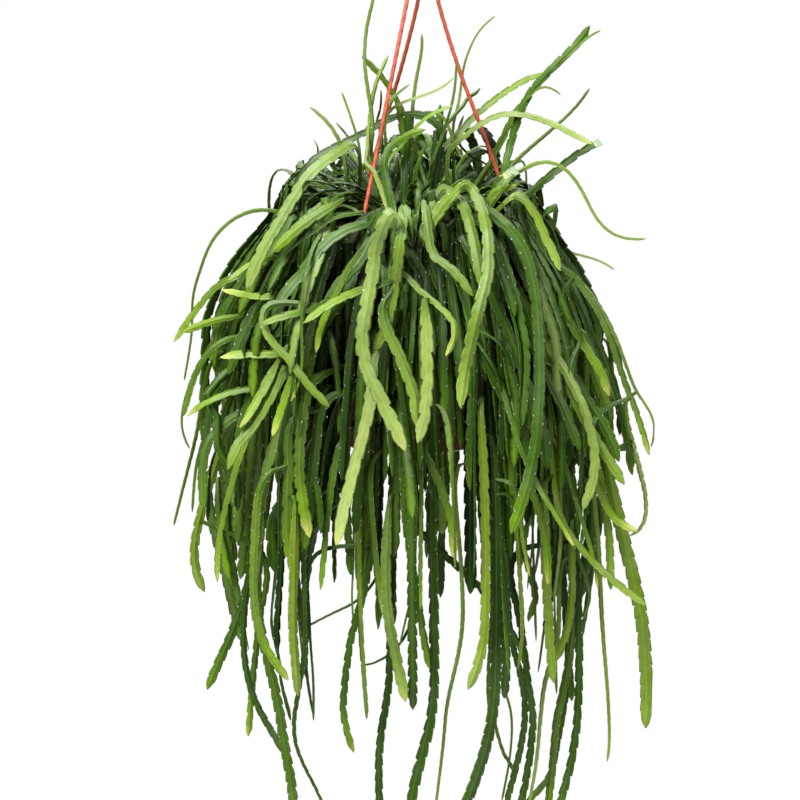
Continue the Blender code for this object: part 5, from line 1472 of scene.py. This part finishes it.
def mottleGroup():
    # Soft and fine blotches in a colour, and a height to go with them
    group = bpy.data.node_groups.new("mottle", "ShaderNodeTree")
    for name, kind, value in (("Color", "NodeSocketColor", (1, 1, 1, 1)),
                              ("Scale", "NodeSocketFloat", 60.0), ("Amount", "NodeSocketFloat", 0.2)):
        group.interface.new_socket(name, in_out="INPUT", socket_type=kind).default_value = value
    group.interface.new_socket("Color", in_out="OUTPUT", socket_type="NodeSocketColor")
    group.interface.new_socket("Height", in_out="OUTPUT", socket_type="NodeSocketFloat")
    start = group.nodes.new("NodeGroupInput")
    end = group.nodes.new("NodeGroupOutput")
    place = addNode(group, "ShaderNodeTexCoord").outputs["Object"]
    scale = start.outputs["Scale"]
    soft = addNode(group, "ShaderNodeTexNoise", {"Vector": place, "Scale": scale, "Detail": 3})
    fineScale = sumOf(group, "MULTIPLY", scale, 6.0)
    fine = addNode(group, "ShaderNodeTexNoise", {"Vector": place, "Scale": fineScale, "Detail": 2})
    both = sumOf(group, "MULTIPLY_ADD", fine.outputs["Fac"], 0.4,
                 sumOf(group, "MULTIPLY", soft.outputs["Fac"], 0.6))
    centred = sumOf(group, "MULTIPLY", sumOf(group, "SUBTRACT", both, 0.5), start.outputs["Amount"])
    factor = sumOf(group, "MULTIPLY_ADD", centred, 4.0, 1.0)
    bright = addNode(group, "ShaderNodeCombineXYZ", {"X": factor, "Y": factor, "Z": factor}).outputs[0]
    colour = mixed(group, 1.0, start.outputs["Color"], bright, "MULTIPLY")
    group.links.new(colour, end.inputs["Color"])
    group.links.new(both, end.inputs["Height"])
    return group


def newFinish(name, **values):
    # A material whose even values are set on the shader itself
    finish = bpy.data.materials.new(name)
    finish.use_nodes = True
    shader = finish.node_tree.nodes["Principled BSDF"]
    for socket, value in values.items():
        shader.inputs[socket.replace("_", " ")].default_value = value
    return finish, finish.node_tree, shader


mottle = mottleGroup()


def addMottle(tree, shader, colour, scale, amount):
    # Blotches a shader's colour, and gives the height that goes with the blotches
    blotched = addNode(tree, "ShaderNodeGroup", {"Color": colour, "Scale": scale, "Amount": amount},
                       node_tree=mottle)
    tree.links.new(blotched.outputs["Color"], shader.inputs["Base Color"])
    return blotched.outputs["Height"]


def addBump(tree, shader, height, strength, distance):
    bump = addNode(tree, "ShaderNodeBump", {"Strength": strength, "Distance": distance, "Height": height})
    tree.links.new(bump.outputs["Normal"], shader.inputs["Normal"])


# Colours by shade from dark to pale, then single ones
greens = {
    "cool": [(0, (0.004, 0.018, 0.001, 1)), (0.35, (0.032, 0.088, 0.006, 1)),
             (0.65, (0.135, 0.22, 0.036, 1)), (1, (0.42, 0.51, 0.23, 1))],
    "warm": [(0, (0.008, 0.026, 0.0005, 1)), (0.35, (0.052, 0.125, 0.002, 1)),
             (0.65, (0.185, 0.28, 0.014, 1)), (1, (0.44, 0.52, 0.15, 1))],
    "fresh": [(0, (0.060, 0.170, 0.002, 1)), (0.5, (0.17, 0.30, 0.008, 1)), (1, (0.47, 0.56, 0.21, 1))],
    "tip": [(0, (0.36, 0.42, 0.015, 1)), (1, (0.58, 0.62, 0.20, 1))],
    "areole": (0.85, 0.85, 0.74, 1),
    "cut": (0.30, 0.38, 0.22, 1),
    # A frosty sheen, partly a waxy bloom and partly a painted highlight
    "bloomAndSheen": (0.33, 0.44, 0.23, 1),
    # Painted shade at the foot and in the creases
    "foot": (0.01, 0.035, 0.004, 1),
    "creaseShade": (0.01, 0.04, 0.003, 1),
    "line": (0.5, 0.6, 0.2, 1),
}


def creaseGroup():
    # From each notch a faint crease runs slantwise to the rib. Gives how deep in a crease, and how
    # near the rib, the edge and a notch a place is.
    group = bpy.data.node_groups.new("creases", "ShaderNodeTree")
    group.interface.new_socket("Place", in_out="INPUT", socket_type="NodeSocketVector")
    for name in ("Crease", "Rib", "Edge", "Notch"):
        group.interface.new_socket(name, in_out="OUTPUT", socket_type="NodeSocketFloat")
    start = group.nodes.new("NodeGroupInput")
    end = group.nodes.new("NodeGroupOutput")
    spot = addNode(group, "ShaderNodeSeparateXYZ", {"Vector": start.outputs["Place"]})
    across = sumOf(group, "ABSOLUTE", spot.outputs["X"])
    otherSide = sumOf(group, "MULTIPLY", sumOf(group, "LESS_THAN", spot.outputs["X"], 0.0), 0.5)
    turns = sumOf(group, "ADD", spot.outputs["Y"], otherSide)
    slanted = sumOf(group, "MULTIPLY_ADD", oneMinus(group, across), 0.45, turns)
    nearCrease = oneMinus(group, stepped(group, fromWhole(group, slanted), 0.0, 0.32))
    found = {
        "Crease": sumOf(group, "MULTIPLY", nearCrease, stepped(group, across, 0.1, 0.5)),
        "Rib": oneMinus(group, stepped(group, across, 0.03, 0.2)),
        "Edge": stepped(group, across, 0.74, 0.94),
        "Notch": oneMinus(group, stepped(group, fromWhole(group, turns), 0.03, 0.085)),
    }
    for name, value in found.items():
        group.links.new(value, end.inputs[name])
    return group


creases = creaseGroup()


def stemFinish():
    finish, tree, shader = newFinish("stem green", Coat_Weight=0.06, Coat_Roughness=0.3, IOR=1.4,
                                     Specular_IOR_Level=0.3)
    look = addNode(tree, "ShaderNodeAttribute", attribute_name="stemLook")
    place = addNode(tree, "ShaderNodeAttribute", attribute_name="stemPlace")
    channels = addNode(tree, "ShaderNodeSeparateColor", {"Color": look.outputs["Color"]})
    form = addNode(tree, "ShaderNodeGroup", {"Place": place.outputs["Vector"]}, node_tree=creases)
    cool = ramped(tree, channels.outputs["Red"], greens["cool"])
    warm = ramped(tree, channels.outputs["Red"], greens["warm"])
    colour = mixed(tree, channels.outputs["Green"], cool, warm)
    # A pale frosty sheen in patches, strongest on what faces up: partly a waxy bloom, partly a painted
    # highlight of the light from above
    normal = addNode(tree, "ShaderNodeNewGeometry").outputs["Normal"]
    up = addNode(tree, "ShaderNodeSeparateXYZ", {"Vector": normal})
    where = addNode(tree, "ShaderNodeTexCoord").outputs["Object"]
    patches = addNode(tree, "ShaderNodeTexNoise", {"Vector": where, "Scale": 26.0, "Detail": 2})
    litFromAbove = sumOf(tree, "MULTIPLY_ADD", stepped(tree, up.outputs["Z"], 0.0, 0.9), 0.85, 0.15)
    bloomAndSheenShare = sumOf(tree, "MULTIPLY", litFromAbove, stepped(tree, patches.outputs["Fac"], 0.44, 0.62))
    bloomAndSheenShare = sumOf(tree, "MULTIPLY", bloomAndSheenShare, sumOf(tree, "MULTIPLY_ADD", channels.outputs["Red"], 0.4, 0.16))
    colour = mixed(tree, bloomAndSheenShare, colour, greens["bloomAndSheen"])
    # The end is a clear fresh green, and its last bit yellow
    fresh = stepped(tree, channels.outputs["Blue"], 0.0, 0.5)
    freshColour = ramped(tree, channels.outputs["Red"], greens["fresh"])
    tipColour = ramped(tree, channels.outputs["Red"], greens["tip"])
    colour = mixed(tree, sumOf(tree, "MULTIPLY", fresh, 0.85), colour, freshColour)
    colour = mixed(tree, stepped(tree, channels.outputs["Blue"], 0.5, 0.98), colour, tipColour)
    # Darker towards the foot, a painted shade where the stems crowd in the crown, and in the creases, a
    # painted shade in their hollows
    foot = stepped(tree, look.outputs["Alpha"], 0.0, 0.22)
    colour = mixed(tree, sumOf(tree, "MULTIPLY_ADD", foot, -0.45, 0.45), colour, greens["foot"])
    colour = mixed(tree, sumOf(tree, "MULTIPLY", form.outputs["Crease"], 0.1), colour, greens["creaseShade"])
    # A paler rib and a thin pale edge, and a small woolly speck in each notch
    lines = sumOf(tree, "MULTIPLY_ADD", form.outputs["Rib"], 0.06,
                  sumOf(tree, "MULTIPLY", form.outputs["Edge"], 0.1))
    colour = mixed(tree, lines, colour, greens["line"])
    speck = sumOf(tree, "MULTIPLY", form.outputs["Notch"], form.outputs["Edge"])
    spread = addNode(tree, "ShaderNodeTexNoise", {"Vector": where, "Scale": 95.0, "Detail": 1})
    speck = sumOf(tree, "MULTIPLY", speck, stepped(tree, spread.outputs["Fac"], 0.4, 0.6))
    colour = mixed(tree, sumOf(tree, "MULTIPLY", speck, 0.95), colour, greens["areole"])
    # Where the shade stands for a cut end
    isCut = sumOf(tree, "GREATER_THAN", channels.outputs["Red"], 1.5)
    colour = mixed(tree, isCut, colour, greens["cut"])
    height = addMottle(tree, shader, colour, 55, 0.24)
    tree.links.new(sumOf(tree, "MULTIPLY_ADD", height, 0.3, 0.25), shader.inputs["Roughness"])
    addBump(tree, shader, sumOf(tree, "MULTIPLY_ADD", form.outputs["Crease"], -0.2, height), 0.4, 0.0006)
    return finish


def plasticFinish(name, colour, roughness, amount, coat):
    # Moulded plastic: nearly even, with faint flow marks and dust
    finish, tree, shader = newFinish(name, Coat_Weight=coat, Coat_Roughness=0.25)
    height = addMottle(tree, shader, colour, 35, amount)
    tree.links.new(sumOf(tree, "MULTIPLY_ADD", height, 0.25, roughness - 0.12), shader.inputs["Roughness"])
    addBump(tree, shader, height, 0.15, 0.0004)
    return finish


soilTones = [(0, (0.05, 0.032, 0.02, 1)), (0.6, (0.016, 0.01, 0.006, 1)), (1, (0.006, 0.004, 0.003, 1))]


def soilFinish():
    # Dark potting soil with paler crumbs
    finish, tree, shader = newFinish("potting soil", Roughness=0.95)
    place = addNode(tree, "ShaderNodeTexCoord").outputs["Object"]
    crumbs = addNode(tree, "ShaderNodeTexVoronoi", {"Vector": place, "Scale": 420.0}).outputs["Distance"]
    tone = ramped(tree, crumbs, soilTones)
    height = addMottle(tree, shader, tone, 120, 0.4)
    addBump(tree, shader, sumOf(tree, "SUBTRACT", height, crumbs), 0.9, 0.002)
    return finish


plastics = {
    "pot plastic": {"colour": (0.10, 0.035, 0.02, 1), "roughness": 0.42, "amount": 0.12, "coat": 0.1},
    "saucer plastic": {"colour": (0.16, 0.045, 0.02, 1), "roughness": 0.4, "amount": 0.12, "coat": 0.1},
    "hanger plastic": {"colour": (0.50, 0.085, 0.035, 1), "roughness": 0.5, "amount": 0.2, "coat": 0.05},
}
stemGreen = stemFinish()
potBrown, saucerBrown, hangerRed = (plasticFinish(name, **look) for name, look in plastics.items())
soilDark = soilFinish()
print("materials made")


# The plant

for name in clumps:
    seed = clumps[name]["seed"]
    piece = stemPiece("plant_" + name, allStems[name], seed + blade["seeds"]["plant"],
                      (stemGreen, soilDark), clumps[name])
    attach(piece, "root")
    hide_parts("stems_" + name)
    between = stemPiece("between_" + name, fillerRoutes(name), seed + blade["seeds"]["between"],
                        (stemGreen,))
    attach(between, "root")
    print("plant", name, len(piece.data.polygons), len(between.data.polygons), "faces")


# The hanger's strands: moulded with twisted ridges, a button under the rim

def strandPiece(name):
    shape = bmesh.new()
    sides, ridges = hanger["sides"], hanger["ridges"]
    line = smoothLine(strandRoute(name), 24)
    targets = evenTargets(line, hanger["ringStep"])
    points = pointsAt(line, targets)
    rings = []
    last = len(points) - 1
    for index, centre in enumerate(points):
        ahead = (points[min(index + 1, last)] - points[max(index - 1, 0)]).normalized()
        side = ahead.cross(Vector((0.3, 1, 0))).normalized()
        face = side.cross(ahead)
        turn = math.tau * targets[index] / hanger["twistPitch"] / ridges
        ring = []
        for corner in range(sides):
            angle = math.tau * corner / sides
            ridge = 1 - hanger["ridge"] * (0.5 - 0.5 * math.cos(ridges * (angle - turn)))
            reach = hanger["strandRadius"] * ridge
            spot = centre + side * reach * math.cos(angle) + face * reach * math.sin(angle)
            ring.append(rimMiddle(spot))
        rings.append(ring)
    wrapped(shape, rings)
    top = -pot["rimThickness"] - hanger["buttonGap"]
    middle = rimMiddle((points[0].x, points[0].y, top - hanger["buttonHeight"] / 2))
    bmesh.ops.create_cone(shape, cap_ends=True, segments=24, radius1=hanger["buttonRadius"] * mm,
                          radius2=hanger["buttonRadius"] * mm, depth=hanger["buttonHeight"] * mm,
                          matrix=Matrix.Translation(middle))
    bmesh.ops.recalc_face_normals(shape, faces=shape.faces)
    piece = makeObject("twisted_" + name, shape, hangerRed)
    smoothShaded(piece.data)
    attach(piece, "root")
    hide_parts(name)


for name in hanger["strandAngles"]:
    strandPiece(name)
print("strands made")


# The pot, its saucer, the soil and the hook keep their solids and get their finishes

def finishNode(name, finish):
    node = frame["nodes"][name]
    node.data.materials.clear()
    node.data.materials.append(finish)


for name, finish in (("pot", potBrown), ("saucer", saucerBrown), ("soil", soilDark), ("hook", hangerRed)):
    finishNode(name, finish)


# Floor and light

studio = {
    "aim": (0, 0, -80),             # where the lights point, from the rim's middle
    "floorDrop": -2.6,
    "floorRadius": 3,
    "world": 0.2,                   # how much the surroundings light the plant
    "surround": 1.0,                # and how bright they look behind it
    "sky": {"turn": (math.radians(24), math.radians(-16), 0), "strength": 3.5,
            "spread": math.radians(30)},
    "key": {"spot": (-1.2, -1.7, 1.5), "size": 1.2, "power": 70},
    "fill": {"spot": (1.7, -1.4, 0.4), "size": 1.6, "power": 20},
    "back": {"spot": (0.5, 1.9, 1.1), "size": 1.6, "power": 30},
}


def softLight(name, spot, size, power):
    lamp = bpy.data.lights.new(name, "AREA")
    lamp.energy = power
    lamp.size = size
    light = bpy.data.objects.new(name, lamp)
    light.location = spot
    light.rotation_euler = (rimMiddle(studio["aim"]) - light.location).to_track_quat("-Z", "Y").to_euler()
    scene.collection.objects.link(light)


def makeStudio():
    shape = bmesh.new()
    bmesh.ops.create_circle(shape, cap_ends=True, segments=64, radius=studio["floorRadius"])
    bmesh.ops.translate(shape, verts=shape.verts, vec=(0, 0, studio["floorDrop"]))
    pale, _, _ = newFinish("pale floor", Base_Color=(0.9, 0.9, 0.9, 1), Roughness=0.9)
    floor = makeObject("floor", shape, pale)
    world = bpy.data.worlds.new("studio")
    world.use_nodes = True
    tree = world.node_tree
    surround = tree.nodes["Background"]
    surround.inputs["Color"].default_value = (1, 1, 1, 1)
    straight = addNode(tree, "ShaderNodeLightPath").outputs["Is Camera Ray"]
    strength = sumOf(tree, "MULTIPLY_ADD", straight, studio["surround"] - studio["world"], studio["world"])
    tree.links.new(strength, surround.inputs["Strength"])
    scene.world = world
    for name in ("key", "fill", "back"):
        softLight(name, **studio[name])
    lamp = bpy.data.lights.new("sky", "SUN")
    lamp.energy = studio["sky"]["strength"]
    lamp.angle = studio["sky"]["spread"]
    sky = bpy.data.objects.new("sky", lamp)
    sky.rotation_euler = studio["sky"]["turn"]
    scene.collection.objects.link(sky)
    scene.view_settings.view_transform = "Standard"


makeStudio()
print("studio lit")
